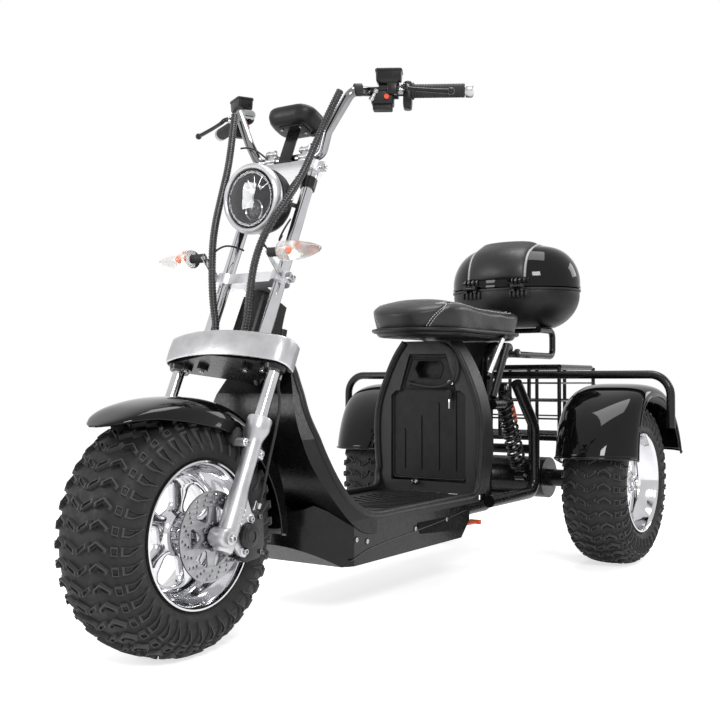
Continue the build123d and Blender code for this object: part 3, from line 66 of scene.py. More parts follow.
RAKE = radians(24.5)
SIDES = (1, -1)
LEG_X, LEG_BACK = 131.0, 14.0
FORK = Matrix((
    (1, 0, 0, 0),
    (0, cos(RAKE), sin(RAKE), FRONT_Y),
    (0, -sin(RAKE), cos(RAKE), AXLE_Z),
    (0, 0, 0, 1),
))
# What lies in FACE has its local x and y along the tricycle's +Y and +Z, and its local z along +X.
FACE = Matrix(((0, 0, 1, 0), (1, 0, 0, 0), (0, 1, 0, 0), (0, 0, 0, 1)))
ROUND_Z = FACE.inverted()  # turns what is round about local x to be round about local z
X_UP = Matrix.Rotation(-pi / 2, 4, "Y")
UPSIDE_DOWN = Matrix.Rotation(pi, 4, "X")
MIRROR = Matrix.Scale(-1, 4, (1, 0, 0))


def behind(distance):
    """Y of a place that is so far behind the front axle."""
    return FRONT_Y + distance


def at(x, distance, z):
    """A place, by how far it is behind the front axle."""
    return Vector((x, behind(distance), z))


def on_fork(x, back, along):
    """A place, by how far it is across, behind the axle and up along the fork."""
    return FORK @ Vector((x, back, along))


def spot(x, y, z):
    """A frame moved to a place."""
    return Matrix.Translation((x, y, z))


def aim(origin, direction, across=(1, 0, 0)):
    """A frame at origin whose local z is direction and whose local x is near across."""
    z = Vector(direction).normalized()
    x = Vector(across)
    x = (x - z * x.dot(z)).normalized()
    y = z.cross(x)
    made = Matrix((x, y, z)).transposed().to_4x4()
    made.translation = Vector(origin)
    return made


def outward(side, x, distance, z):
    """A frame on one side whose local z points outwards."""
    return aim(at(side * x, distance, z), (side, 0, 0), (0, 1, 0))


def facing(base, place, direction):
    """A frame at a place in another frame, its local z along a direction of that frame."""
    return aim(base @ Vector(place), base.to_3x3() @ Vector(direction), (0, 0, 1))


def around(count, start):
    """Angles spread round a circle from a start in degrees."""
    return [radians(start + 360 * k / count) for k in range(count)]


def polar(radius, angle, z=0.0):
    """A place on a circle about local z."""
    return spot(radius * cos(angle), radius * sin(angle), z)


# -------- shapes: (vertices, faces) in millimetres
class Parts(list):
    """The shapes of one piece, each with the number of its paint."""

    def put(self, shape, place=None, paint=0):
        """Adds a shape, moved into a frame."""
        self.append((moved(shape, place) if place is not None else shape, paint))

    def mirrored(self):
        return [(moved(shape, MIRROR), paint) for shape, paint in self]

    def both(self):
        """The parts of the left and of the right side."""
        return self + self.mirrored()


def moved(shape, matrix):
    """A shape in another frame. One that is mirrored keeps its faces outwards."""
    flip = matrix.determinant() < 0
    faces = [tuple(reversed(f)) for f in shape[1]] if flip else shape[1]
    return [matrix @ Vector(v) for v in shape[0]], faces


def joined(shapes):
    """Many shapes as one."""
    verts, faces = [], []
    for more, loops in shapes:
        start = len(verts)
        verts += more
        faces += [tuple(i + start for i in loop) for loop in loops]
    return verts, faces


def skin(rings, closed=True, caps=True, loop=False):
    """Quads between rings of points."""
    n, count = len(rings[0]), len(rings)
    faces = []
    for i in range(count if loop else count - 1):
        a, b = i * n, ((i + 1) % count) * n
        for j in range(n if closed else n - 1):
            k = (j + 1) % n
            faces.append((a + j, a + k, b + k, b + j))
    if caps and not loop:
        faces.append(tuple(reversed(range(n))))
        faces.append(tuple(range((count - 1) * n, count * n)))
    return [Vector(p) for ring in rings for p in ring], faces


def lathe(profile, steps, closed=False):
    """Turns (x, radius) points round the local x axis."""
    rings = []
    for i in range(steps):
        t = 2 * pi * i / steps
        rings.append([(x, -r * cos(t), r * sin(t)) for x, r in profile])
    return skin(rings, closed=closed, caps=False, loop=True)


def hoop(profile, steps=40):
    """Turns a closed outline of (x, radius) points round the local x axis."""
    return lathe(profile, steps, closed=True)


def post(profile, steps=24):
    """Turns (radius, z) points round the local z axis, closed at both ends."""
    ends = [(0, profile[0][1]), *profile, (0, profile[-1][1])]
    verts, faces = lathe([(z, max(r, 0.01)) for r, z in ends], steps)
    return [Vector((v.z, v.y, v.x)) for v in verts], faces


def egg(radius, half, steps):
    """A ball about the origin, drawn out along z."""
    return post([(radius * sin(pi * k / steps), -half * cos(pi * k / steps)) for k in range(1, steps)])


def smooth(points, steps):
    """A Catmull-Rom line through points."""
    p = [np.array(q, float) for q in points]
    p = [2 * p[0] - p[1]] + p + [2 * p[-1] - p[-2]]
    made = []
    for a, b, c, d in zip(p, p[1:], p[2:], p[3:]):
        for i in range(steps):
            t = i / steps
            square, cube = 2 * a - 5 * b + 4 * c - d, 3 * b - a - 3 * c + d
            made.append(0.5 * (2 * b + (c - a) * t + square * t**2 + cube * t**3))
    made.append(p[-2])
    return [tuple(q) for q in made]


def frames_along(path):
    """A frame at each point of a path, without twist."""
    path = [Vector(p) for p in path]
    tangents = []
    for i in range(len(path)):
        tangents.append((path[min(i + 1, len(path) - 1)] - path[max(i - 1, 0)]).normalized())
    x = tangents[0].orthogonal().normalized()
    made = []
    for p, t in zip(path, tangents):
        x = (x - t * x.dot(t)).normalized()
        made.append((p, x, t.cross(x)))
    return made


def tube(path, radius, sides=20):
    """A round tube along a path. The radius may be a list."""
    turns = [2 * pi * k / sides for k in range(sides)]
    rings = []
    for i, (p, x, y) in enumerate(frames_along(path)):
        r = radius[i] if isinstance(radius, list) else radius
        rings.append([p + (x * cos(t) + y * sin(t)) * r for t in turns])
    return skin(rings)


def corners(points, radius, steps=5):
    """A closed outline with rounded corners, in the plane."""
    made = []
    n = len(points)
    for i in range(n):
        a, b, c = (Vector((*points[j % n][:2], 0)) for j in (i - 1, i, i + 1))
        r = points[i][2] if len(points[i]) > 2 else radius
        u, v = (a - b).normalized(), (c - b).normalized()
        angle = u.angle(v)
        reach = min(r / tan(angle / 2), 0.46 * (a - b).length, 0.46 * (c - b).length)
        r = reach * tan(angle / 2)
        if r < 0.05:
            made.append((b.x, b.y))
            continue
        centre = b + (u + v).normalized() * (r / sin(angle / 2))
        start, end = b + u * reach - centre, b + v * reach - centre
        for k in range(steps + 1):
            q = centre + start.slerp(end, k / steps).normalized() * r
            made.append((q.x, q.y))
    return made


def box_outline(width, depth, radius):
    """A rectangle about the origin with rounded corners."""
    w, d = width / 2, depth / 2
    return corners([(-w, -d), (w, -d), (w, d), (-w, d)], radius)


def circle(radius, x=0.0, y=0.0, steps=24):
    """A round outline in the plane."""
    turns = [2 * pi * k / steps for k in range(steps)]
    return [(x + radius * cos(t), y + radius * sin(t)) for t in turns]


def turned(points, angle):
    """Points of the plane turned about the origin."""
    c, s = cos(angle), sin(angle)
    return [(x * c - y * s, x * s + y * c) for x, y in points]


def meshed(curve):
    """The vertices and faces of a curve, which is then removed."""
    holder = bpy.data.objects.new("curve", curve)
    mesh = bpy.data.meshes.new_from_object(holder)
    verts = [v.co.copy() for v in mesh.vertices]
    faces = [tuple(p.vertices) for p in mesh.polygons]
    bpy.data.objects.remove(holder)
    bpy.data.curves.remove(curve)
    bpy.data.meshes.remove(mesh)
    return verts, faces


def plate(loops, thickness, edge):
    """A flat plate with holes from z 0 to its thickness, its edges rounded."""
    curve = bpy.data.curves.new("plate", "CURVE")
    curve.dimensions, curve.fill_mode = "2D", "BOTH"
    curve.extrude, curve.offset = thickness / 2 - edge, -edge
    curve.bevel_depth, curve.bevel_resolution = edge, 1
    for loop in loops:
        spline = curve.splines.new("POLY")
        spline.points.add(len(loop) - 1)
        for point, (x, y) in zip(spline.points, loop):
            point.co = (x, y, 0, 1)
        spline.use_cyclic_u = True
    verts, faces = meshed(curve)
    return [v + Vector((0, 0, thickness / 2)) for v in verts], faces


def block(width, depth, height, radius, edge):
    """A box from z 0 up, its upright corners and its edges rounded."""
    return plate([box_outline(width, depth, radius)], height, edge)


def stacked(levels):
    """Rounded rectangles (z, width, depth, corner radius) joined into one skin."""
    return skin([[(x, y, z) for x, y in box_outline(w, d, r)] for z, w, d, r in levels])


def bolt(r, height):
    """A socket head screw standing on z 0."""
    return post([(r, 0), (r, height * 0.8), (r * 0.86, height), (r * 0.5, height),
                 (r * 0.46, height * 0.4)], 16)


def build(name, parts, body, paints, replaces=(), solidify=0.0, sharp=35.0):
    """Makes one piece from a shape, or from shapes that each have the number of their paint."""
    if isinstance(parts, tuple):
        parts = [(parts, 0)]
    paints = paints if isinstance(paints, (list, tuple)) else [paints]
    verts, faces = joined([shape for shape, mark in parts])
    mesh = bpy.data.meshes.new(name)
    mesh.from_pydata([Vector(v) * MM for v in verts], [], faces)
    mesh.polygons.foreach_set("material_index", [mark for shape, mark in parts for face in shape[1]])
    edit = bmesh.new()
    edit.from_mesh(mesh)
    bmesh.ops.remove_doubles(edit, verts=edit.verts, dist=2e-5)
    bmesh.ops.dissolve_degenerate(edit, edges=edit.edges, dist=1e-6)
    bmesh.ops.recalc_face_normals(edit, faces=edit.faces)
    edit.to_mesh(mesh)
    edit.free()
    for one in paints:
        mesh.materials.append(one)
    piece = bpy.data.objects.new(name, mesh)
    bpy.context.scene.collection.objects.link(piece)
    if solidify:
        wall = piece.modifiers.new("wall", "SOLIDIFY")
        wall.thickness, wall.offset = solidify * MM, -1
    mesh.shade_smooth()
    mesh.set_sharp_from_angle(angle=radians(sharp))
    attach(piece, body)
    if replaces:
        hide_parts(*([replaces] if isinstance(replaces, str) else replaces))
    return piece


# -------- materials
def linked(tree, kind, inputs=(), **settings):
    """A new node, its inputs set to values or joined to sockets."""
    node = tree.nodes.new(kind)
    for key, value in settings.items():
        setattr(node, key, value)
    for socket, value in dict(inputs).items():
        if isinstance(value, bpy.types.NodeSocket):
            tree.links.new(value, node.inputs[socket])
        else:
            node.inputs[socket].default_value = value
    return node


def ranged(tree, value, low, high, **limits):
    """A value from low to high, stretched to 0 to 1 or to the limits given."""
    inputs = {"Value": value, "From Min": low, "From Max": high, **limits}
    return linked(tree, "ShaderNodeMapRange", inputs).outputs["Result"]


def mixed(tree, factor, first, second):
    """A colour between two others."""
    inputs = {"Factor": factor, "A": first, "B": second}
    return linked(tree, "ShaderNodeMix", inputs, data_type="RGBA").outputs["Result"]


def noise(tree, place, scale, detail=3.0):
    """A cloudy value about 0.5."""
    inputs = {"Vector": place, "Scale": scale, "Detail": detail}
    return linked(tree, "ShaderNodeTexNoise", inputs).outputs["Fac"]


def embossed(tree, shader, height, strength, distance):
    """Gives a finish a fine relief."""
    inputs = {"Height": height, "Strength": strength, "Distance": distance}
    tree.links.new(linked(tree, "ShaderNodeBump", inputs).outputs["Normal"], shader.inputs["Normal"])


def rgba(tone):
    """A colour of a finish. A number stands for a slightly cool grey."""
    return (*tone, 1) if isinstance(tone, tuple) else (tone, tone, tone * 1.03, 1)


def paint(name, dark, light, rough, metal=0.0, coat=0.0, specular=0.5, spread=30.0, rough_spread=90.0,
          bump=0.0, grain=600.0, pattern="noise", wear=None, stretch=(1, 1, 1), tweak=None):
    """A procedural finish: colour between two tones, roughness within two limits, and a fine relief."""
    made = bpy.data.materials.new(name)
    made.use_nodes = True
    tree = made.node_tree
    shader = tree.nodes["Principled BSDF"]
    place = linked(tree, "ShaderNodeTexCoord").outputs["Object"]
    place = linked(tree, "ShaderNodeMapping", {"Vector": place, "Scale": stretch}).outputs["Vector"]
    tone = noise(tree, place, spread, 5.0)
    colour = mixed(tree, ranged(tree, tone, 0.35, 0.65), rgba(dark), rgba(light))
    if wear:
        edge = linked(tree, "ShaderNodeNewGeometry").outputs["Pointiness"]
        colour = mixed(tree, ranged(tree, edge, 0.53, 0.62), colour, rgba(wear))
    tree.links.new(colour, shader.inputs["Base Color"])
    limits = {"To Min": rough[0], "To Max": rough[1]}
    cloud = ranged(tree, noise(tree, place, rough_spread), 0.3, 0.7, **limits)
    tree.links.new(cloud, shader.inputs["Roughness"])
    settings = {"Metallic": metal, "Specular IOR Level": specular, "Coat Weight": coat,
                "Coat Roughness": 0.03}
    for socket, value in settings.items():
        shader.inputs[socket].default_value = value
    if bump:
        if pattern == "noise":
            relief = noise(tree, place, grain)
        else:
            inputs = {"Vector": place, "Scale": grain}
            relief = linked(tree, "ShaderNodeTexVoronoi", inputs, feature=pattern).outputs["Distance"]
        embossed(tree, shader, relief, bump, 0.0004)
    if tweak:
        tweak(tree, shader, place)
    return made


GLOSS = paint("gloss_black", 0.002, 0.0035, (0.035, 0.07), coat=0.12, specular=0.17, bump=0.02, grain=160)
SHIELD_BLACK = paint("shield_black", 0.003, 0.005, (0.24, 0.34), coat=0.03, specular=0.16,
                     bump=0.02, grain=400)
SATIN = paint("satin_black", 0.006, 0.01, (0.34, 0.46), specular=0.26, bump=0.22, grain=1500, wear=0.02)
PANEL = paint("panel_black", 0.004, 0.007, (0.2, 0.3), coat=0.06, specular=0.2, bump=0.015, grain=900)
BATTERY = paint("battery_black", 0.0045, 0.0075, (0.42, 0.55), specular=0.22, bump=0.3,
                grain=1900, wear=0.014)
COAT_BLACK = paint("frame_black", 0.004, 0.007, (0.22, 0.34), coat=0.1, specular=0.28, bump=0.03, grain=700)
RUBBER = paint("tyre_rubber", 0.009, 0.015, (0.5, 0.68), specular=0.3, spread=18, bump=0.25,
               grain=420, wear=0.06)
SOFT_BLACK = paint("soft_black", 0.012, 0.02, (0.5, 0.65), specular=0.3, bump=0.2, grain=1200)
POLISHED = paint("polished_alloy", 0.54, 0.64, (0.05, 0.14), metal=1, spread=14,
                 rough_spread=40, bump=0.03, grain=260)
CAST = paint("cast_silver", 0.4, 0.48, (0.3, 0.42), metal=0.8, bump=0.12, grain=900, wear=0.8)
CHROME = paint("chrome", 0.5, 0.6, (0.02, 0.05), metal=1, spread=12, bump=0.01, grain=90)
DARK_CHROME = paint("dark_chrome", 0.2, 0.3, (0.04, 0.09), metal=1, spread=16, bump=0.01, grain=90)
STEEL = paint("brushed_steel", 0.36, 0.46, (0.2, 0.32), metal=1, bump=0.08, grain=300, stretch=(1, 6, 1))
DISC_GREY = paint("disc_grey", 0.24, 0.32, (0.26, 0.38), metal=1, bump=0.05, grain=300)
DARK_STEEL = paint("dark_steel", 0.1, 0.2, (0.25, 0.4), metal=1, bump=0.08, grain=500)
VINYL = paint("vinyl", 0.006, 0.011, (0.32, 0.43), specular=0.4, spread=22, bump=0.32, grain=900,
              pattern="DISTANCE_TO_EDGE", wear=0.045)
PIPING = paint("piping_grey", 0.3, 0.4, (0.4, 0.5), bump=0.15, grain=900)
THREAD = paint("thread", 0.55, 0.7, (0.6, 0.75), bump=0.3, grain=2500)
ORANGE = paint("bulb_orange", (0.85, 0.13, 0.02), (0.95, 0.2, 0.03), (0.2, 0.3), bump=0.05, grain=500)
STAND_RED = paint("stand_red", (0.62, 0.07, 0.02), (0.75, 0.11, 0.03), (0.3, 0.42), coat=0.2, bump=0.1,
                  grain=700, wear=(0.8, 0.25, 0.15))
LATCH_RED = paint("latch_red", (0.75, 0.05, 0.015), (0.85, 0.08, 0.02), (0.16, 0.26), coat=0.3,
                  bump=0.04, grain=500)
LAMP_SILVER = paint("lamp_reflector", 0.3, 0.42, (0.06, 0.12), metal=1, bump=0.02, grain=120)
MIRROR_SILVER = paint("reflector", 0.78, 0.88, (0.08, 0.16), metal=1, bump=0.3, grain=260, pattern="F1")
# Near black and hardly reflecting: painted shade, used for the lamp's inner cup and for a flat plate on each
# side recess.
SHADE_BLACK = paint("painted_shade_black", 0.001, 0.003, (0.6, 0.8), specular=0.1, bump=0.1, grain=300)


def clear(tree, shader, place):
    """Lets light through."""
    shader.inputs["Transmission Weight"].default_value = 1.0
    shader.inputs["IOR"].default_value = 1.45


def faceted(tree, shader, place):
    """Lets light through fine slanting ribs."""
    clear(tree, shader, place)
    shader.inputs["Transmission Weight"].default_value = 0.9
    ribs = linked(tree, "ShaderNodeTexWave", {"Vector": place, "Scale": 120.0, "Distortion": 1.0},
                  bands_direction="DIAGONAL")
    embossed(tree, shader, ribs.outputs["Fac"], 0.35, 0.0008)


GLASS = paint("lamp_glass", 0.93, 0.97, (0.0, 0.015), bump=0.01, grain=60, tweak=clear)
SIGNAL_GLASS = paint("signal_glass", (0.93, 0.9, 0.86), (0.97, 0.95, 0.92), (0.02, 0.08), tweak=faceted)
DARK_GLASS = paint("dark_glass", 0.004, 0.008, (0.01, 0.03), coat=0.6, specular=0.6, bump=0.01, grain=80)


def carried(material, *names):
    """Gives CAD nodes that keep their shape their finish."""
    for name in names:
        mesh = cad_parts[name].data
        mesh.materials.clear()
        mesh.materials.append(material)
        mesh.polygons.foreach_set("material_index", [0] * len(mesh.polygons))


# -------- tyres
LUG_ROWS = 38
CROWN_RADIUS = 231.0
CROWN = [(0, CROWN_RADIUS), (35, 229.5), (60, 223), (77, 209), (87.5, 191), (90, 172), (86, 156), (78, 146),
         (75.5, 141), (75.5, 136)]
LUGS = [
    ([(1.5, -13), (27, 3), (28, 13), (1.5, -2)], 9.0),
    ([(31, -5), (48, 7), (64, -7), (67, 1), (48, 17), (30, 5)], 8.5),
    ([(71, -10), (82, -13), (83, 5), (71, 7)], 7.5),
    ([(86, -14), (101, -15), (112, -8), (134, 8), (110, 2), (97, 3), (87, 6)], 5.0),
]


def carcass_line():
    """The outside of the tyre's section, and how far along it each point is from the crown."""
    line = np.array(smooth(CROWN, 6))
    line = np.vstack([line[::-1] * (-1, 1), line[1:]])
    steps = np.hypot(*np.diff(line, axis=0).T)
    along = np.concatenate([[0], np.cumsum(steps)])
    return line, along - along[-1] / 2


def lug_shape(outline, height, line, along, angle, side):
    """One lug with a sunk top, laid on the carcass. Its outline is (along the section, round the wheel)."""
    middle = np.mean(outline, axis=0)
    rings = []
    for shrink, lift in ((1.06, -2.0), (0.9, height), (0.66, height), (0.56, height - 3.2)):
        ring = []
        for u, v in outline:
            u, v = middle + (np.array((u, v)) - middle) * shrink
            x = np.interp(u * side, along, line[:, 0])
            r = np.interp(u * side, along, line[:, 1])
            x2, r2 = (np.interp(u * side + 0.5, along, line[:, k]) for k in (0, 1))
            x1, r1 = (np.interp(u * side - 0.5, along, line[:, k]) for k in (0, 1))
            n = np.array((-(r2 - r1), x2 - x1))
            n = n / max(np.hypot(*n), 1e-9)
            x, r = x + n[0] * lift, r + n[1] * lift
            t = angle + v / CROWN_RADIUS
            ring.append((x, -r * cos(t), r * sin(t)))
        rings.append(ring)
    return skin(rings)


def tyre_shape():
    """A closed carcass with its rows of lugs."""
    line, along = carcass_line()
    wall = [tuple(p) for p in line]
    for i, (x, r) in enumerate(wall):  # two fine rings on each sidewall
        if 148 < r < 152 or 176 < r < 179:
            wall[i] = (x + copysign(1.2, x), r)
    inside = [(64, 136), (78, 172), (74, 200), (0, 219), (-74, 200), (-78, 172), (-64, 136)]
    shapes = [hoop(wall + inside, 144)]
    for row in range(LUG_ROWS):
        angle = 2 * pi * row / LUG_ROWS
        for outline, height in LUGS:
            shapes += [lug_shape(outline, height, line, along, angle, side) for side in SIDES]
    return joined(shapes)


TYRE = tyre_shape()
WHEELS = (
    ("front_wheel", "front_tyre", 0.0, FRONT_Y),
    ("rear_wheel_left", "rear_tyre_left", TRACK / 2, REAR_Y),
    ("rear_wheel_right", "rear_tyre_right", -TRACK / 2, REAR_Y),
)
for body, node, x, y in WHEELS:
    build(node + "_tread", moved(TYRE, spot(x, y, AXLE_Z)), body, RUBBER, node, sharp=28)

# -------- rims
BARREL_HALF = [(84, 143), (84.5, 139.5), (81, 136), (74, 133.5), (60, 129), (44, 121), (36, 112.5), (20, 109)]
BARREL = BARREL_HALF + [(-x, r) for x, r in reversed(BARREL_HALF)]
BARREL += [(-78, 143.5), (-75, 136), (-52, 134), (-38, 118), (38, 118), (52, 134), (75, 136), (78, 143.5)]
HUB = [(-62, 12), (-62, 30), (-12, 31), (-4, 36), (8, 46), (15, 46), (19, 39), (26, 32), (34, 29.5),
       (96, 29.5), (100, 27), (102, 22), (102, 12)]


def window(count, k, offset, inner, outer, half_in, half_out, radius):
    """One of the openings between a wheel's spokes."""
    raw = [(inner, -half_in), (outer - 8, -half_out), (outer, 0), (outer - 8, half_out), (inner, half_in)]
    raw = corners([(r, w, radius if r != outer else 60) for r, w in raw], radius, 6)
    return turned(raw, offset + 2 * pi * k / count)


def wheel_face(x, y):
    """The frame of flat pieces on a wheel."""
    return spot(x, y, AXLE_Z) @ FACE


front_windows = [window(5, k, radians(44), 44, 104, 20, 41, 17) for k in range(5)]
star = plate([circle(116, steps=120), circle(16)] + front_windows, 26, 6)
here = spot(0, FRONT_Y, AXLE_Z)
rim = Parts()
rim.put(hoop(BARREL, 144), here)
rim.put(star, here @ FACE @ spot(0, 0, -8))
rim.put(hoop(HUB, 72), here)
build("front_rim_polished", rim, "front_wheel", POLISHED, "front_rim")

holes = []
for k in range(18):
    for radius, turn in ((80.5, 0.0), (73, 5.2), (65.5, 10.4)):
        t = radians(20 * k + turn)
        holes.append(circle(2.7, radius * cos(t), radius * sin(t), 12))
vent = corners([(31, -3), (52, -19), (57, -17), (57, 17), (52, 19), (31, 3)], 2.5, 3)
holes += [turned(vent, angle) for angle in around(6, -2)]
DISC_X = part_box("brake_disc")[1].x / MM - 4
disc = Parts()
disc.put(plate([circle(87, steps=120), circle(14)] + holes, 4, 0.4), wheel_face(DISC_X, FRONT_Y))
for angle in around(6, 28):
    disc.put(bolt(4.6, 4.5), wheel_face(DISC_X + 4, FRONT_Y) @ polar(24, angle), 1)
build("brake_disc_drilled", disc, "front_wheel", [DISC_GREY, DARK_STEEL], "brake_disc")


# The spokes of a rear wheel: radius, half width, depth and how far the face stands out.
SPOKE = ((30, 12, 12, 44), (44, 14, 12, 44), (70, 17, 14, 38), (98, 20, 16, 30), (112, 23, 20, 26),
         (120, 23, 22, 26))


def spoke(angle):
    """A machined spoke with its edges taken off."""
    rings = []
    for r, wide, deep, lift in SPOKE:
        half = [(wide * 0.86, lift + 3), (wide, lift), (wide, lift - deep)]
        section = [(-w, z) for w, z in reversed(half)] + half
        rings.append([(z, *turned([(r, w)], angle)[0]) for w, z in section])
    return skin(rings)


def rear_rim(side):
    """A rear wheel's barrel, black centre with pockets and eight machined spokes round a nut."""
    here = spot(side * TRACK / 2, REAR_Y, AXLE_Z) @ (Matrix.Identity(4) if side > 0 else MIRROR)
    parts = Parts()
    parts.put(hoop(BARREL, 120), here)
    pockets = [window(8, k, 0, 62, 106, 13, 27, 8) for k in range(8)]
    parts.put(plate([circle(112, steps=96), circle(16)] + pockets, 30, 1), here @ FACE @ spot(0, 0, 2), 1)
    for angle in around(8, 22.5):
        parts.put(spoke(angle), here)
    parts.put(hoop([(-50, 16), (-50, 34), (30, 34), (38, 36), (50, 33), (52, 28), (52, 16)], 60), here)
    for angle in around(5, 18):
        place = here @ FACE @ polar(24, angle, 50)
        parts.put(plate([circle(7, steps=6)], 9, 1.2), place, 2)
        parts.put(post([(4, 0), (4, 12), (3, 14)], 14), place, 2)
    parts.put(post([(21, 0), (21, 5), (16, 9), (14, 20), (12, 22)], 32), here @ FACE @ spot(0, 0, 50), 2)
    return parts


for side, word in ((1, "left"), (-1, "right")):
    build(f"rear_rim_{word}_spokes", rear_rim(side), f"rear_wheel_{word}", [POLISHED, COAT_BLACK, CHROME],
          f"rear_rim_{word}")

# -------- front fender
# Angle up from straight ahead, half width, radius of the crown and of the side edge, all about the axle.
FENDER = [(47, 9, 293, 291), (50, 34, 289, 282), (55, 56, 284, 272), (62, 73, 279, 256), (72, 87, 272, 234),
          (85, 96, 267, 215), (100, 99, 266, 206), (118, 99, 267, 204), (136, 99, 270, 205),
          (154, 99, 274, 209), (170, 98, 277, 217), (187, 96, 280, 231)]


def fender_ring(angle, half, crown, edge):
    """A section of the front fender: crowned on top, upright at its edges, with a small rolled lip."""
    t = radians(angle)
    ring = []
    for k in range(25):
        s = pi * (k / 24 - 0.5)
        x = half * copysign(abs(sin(s)) ** 0.8, s)
        r = edge + (crown - edge) * abs(cos(s)) ** 0.55 * 0.995
        ring.append((x, r))
    lip = min(3.0, half * 0.2)
    rolled = [(half + lip * 0.6, edge + 2), (half + lip, edge - 1)]
    ring = [(-x, r) for x, r in reversed(rolled)] + ring[1:-1] + rolled
    return [(x, FRONT_Y - r * cos(t), AXLE_Z + r * sin(t)) for x, r in ring]


fender = skin([fender_ring(*row) for row in smooth(FENDER, 5)], closed=False, caps=False)
build("front_fender_shell", fender, "steering", GLOSS, "front_fender", solidify=2.6, sharp=60)

# -------- fork
LEG = [(12, -25), (17, -25), (20, -20), (21, -10), (21, 62), (20, 84), (17.5, 97), (16.6, 110), (17, 200),
       (18, 206), (23, 219), (24.5, 224), (25, 228), (25, 246), (24, 249.5), (19, 250)]


def fork_leg():
    """The left leg with its boss, the arm that holds the fender, and the block behind it."""
    leg = FORK @ spot(LEG_X, LEG_BACK, 0)
    parts = Parts()
    parts.put(post(LEG, 48), leg)
    boss = spot(LEG_X - 19, FRONT_Y, AXLE_Z) @ FACE
    parts.put(post([(17, 0), (19, 3), (19, 36), (17, 39), (12, 40), (12, 46), (9, 47)], 36), boss)
    parts.put(bolt(7.5, 7), boss @ spot(0, 0, 46), 1)
    for column in range(3):
        for row in range(4):
            t = radians(-32 + 22 * column)
            bar = aim((20.4 * cos(t), -20.4 * sin(t), 36 + 9 * row), (cos(t), -sin(t), 0), (0, 0, 1))
            parts.put(block(4, 3, 1.8, 1, 0.5), leg @ bar)
    # the forward arm that carries the fender, its screw and its rubber
    arm = FORK @ spot(LEG_X - 29, LEG_BACK - 22, 190) @ FACE
    parts.put(post([(8, 0), (8.5, 2), (8.5, 30), (7, 32)]), arm)
    parts.put(bolt(5.5, 5), arm @ spot(0, 0, 31), 1)
    parts.put(post([(13, -16), (15, -12), (15, 6), (12, 12)], 28),
              FORK @ spot(LEG_X - 32, LEG_BACK - 20, 200), 2)
    parts.put(post([(10, 0), (10, 4), (6, 10)]), FORK @ spot(LEG_X - 32, LEG_BACK - 20, 210), 2)
    # the clamp block behind the leg with its screw
    parts.put(block(22, 30, 18, 4, 1.5), FORK @ spot(LEG_X, LEG_BACK + 16, 172))
    parts.put(bolt(5, 4), FORK @ spot(LEG_X + 11, LEG_BACK + 20, 181) @ FACE, 1)
    return parts


# The two arms that hold the caliper, as (distance back, along the leg).
CALIPER_ARMS = [(-4, 96), (20, 100), (46, 96), (70, 73), (82, 70), (84, 50), (70, 42), (55, 44), (52, 20),
                (66, 10), (92, 6), (90, -14), (74, -16), (40, -2), (10, -18)]
left_leg = fork_leg()
right_leg = left_leg.mirrored()
bracket = plate([corners(CALIPER_ARMS, 7, 4)], 9, 1.5)
left_leg.put(bracket, FORK @ spot(LEG_X - 12, LEG_BACK - 14, 0) @ FACE)
for ear in (on_fork(0, 70, 59), on_fork(0, 79, -4)):
    left_leg.put(post([(9, 0), (9, 10), (7.5, 11)]), spot(LEG_X - 12, ear.y, ear.z) @ FACE)
    left_leg.put(bolt(6, 6), spot(LEG_X - 1, ear.y, ear.z) @ FACE, 1)
build("fork_legs_cast", left_leg + right_leg, "steering", [CAST, STEEL, SOFT_BLACK], "fork_sliders")

spacers = Parts()
for x in (108.8, -113):
    spacers.put(hoop([(-0.5, 10.4), (-0.5, 13), (5, 13), (5, 10.4)], 36), spot(x, FRONT_Y, AXLE_Z))
build("axle_spacers", spacers, "steering", SOFT_BLACK)

# -------- brake caliper
CAL_Y, CAL_Z = 80.0, 232.0
BODY = [(-12, 44), (14, 50), (44, 46), (60, 30), (62, -22), (46, -48), (4, -52), (-14, -44), (-10, -22),
        (-20, -8), (-20, 12), (-8, 26)]
caliper = Parts()
for x, shift, deep, high, thickness in ((109.5, -6, 1, 1, 18), (84, 6, 0.82, 0.8, 16)):
    half = corners([(y * deep + CAL_Y + shift, z * high + CAL_Z) for y, z in BODY], 8, 4)
    caliper.put(plate([half], thickness, 3), spot(x, FRONT_Y, 0) @ FACE)
cap = spot(127, behind(CAL_Y + 2), CAL_Z) @ FACE
caliper.put(post([(26, -8), (26, 6), (24, 9), (20, 10), (19, 12), (12.5, 13), (11.5, 12)], 48), cap)
caliper.put(hoop([(12.4, 11), (13.4, 11), (13.4, 13), (12.4, 13)], 48), cap @ ROUND_Z)
for y, z in ((88, 265), (69, 204)):
    caliper.put(post([(10, 0), (10, 10), (8, 12)]), spot(109.5, behind(y), z) @ FACE)
bridge = spot(106, behind(CAL_Y + 46), CAL_Z) @ Matrix.Rotation(radians(90), 4, "X") @ spot(0, 0, -7)
caliper.put(block(30, 66, 14, 3, 2), bridge)
caliper.put(post([(5, 0), (5, 10), (3.4, 12), (3.4, 22)], 18),
            aim(at(118, CAL_Y + 30, CAL_Z + 44), (0, 0.5, 1)), 1)
caliper.put(tube([at(120, CAL_Y + 46, CAL_Z - 30), at(120, CAL_Y + 60, CAL_Z - 44)], 3), paint=1)
for y, z in ((CAL_Y + 40, CAL_Z + 34), (CAL_Y + 42, CAL_Z - 36)):
    caliper.put(bolt(5, 4), spot(127, behind(y), z) @ FACE, 1)
build("caliper_body", caliper, "steering", [COAT_BLACK, DARK_STEEL], "brake_caliper")

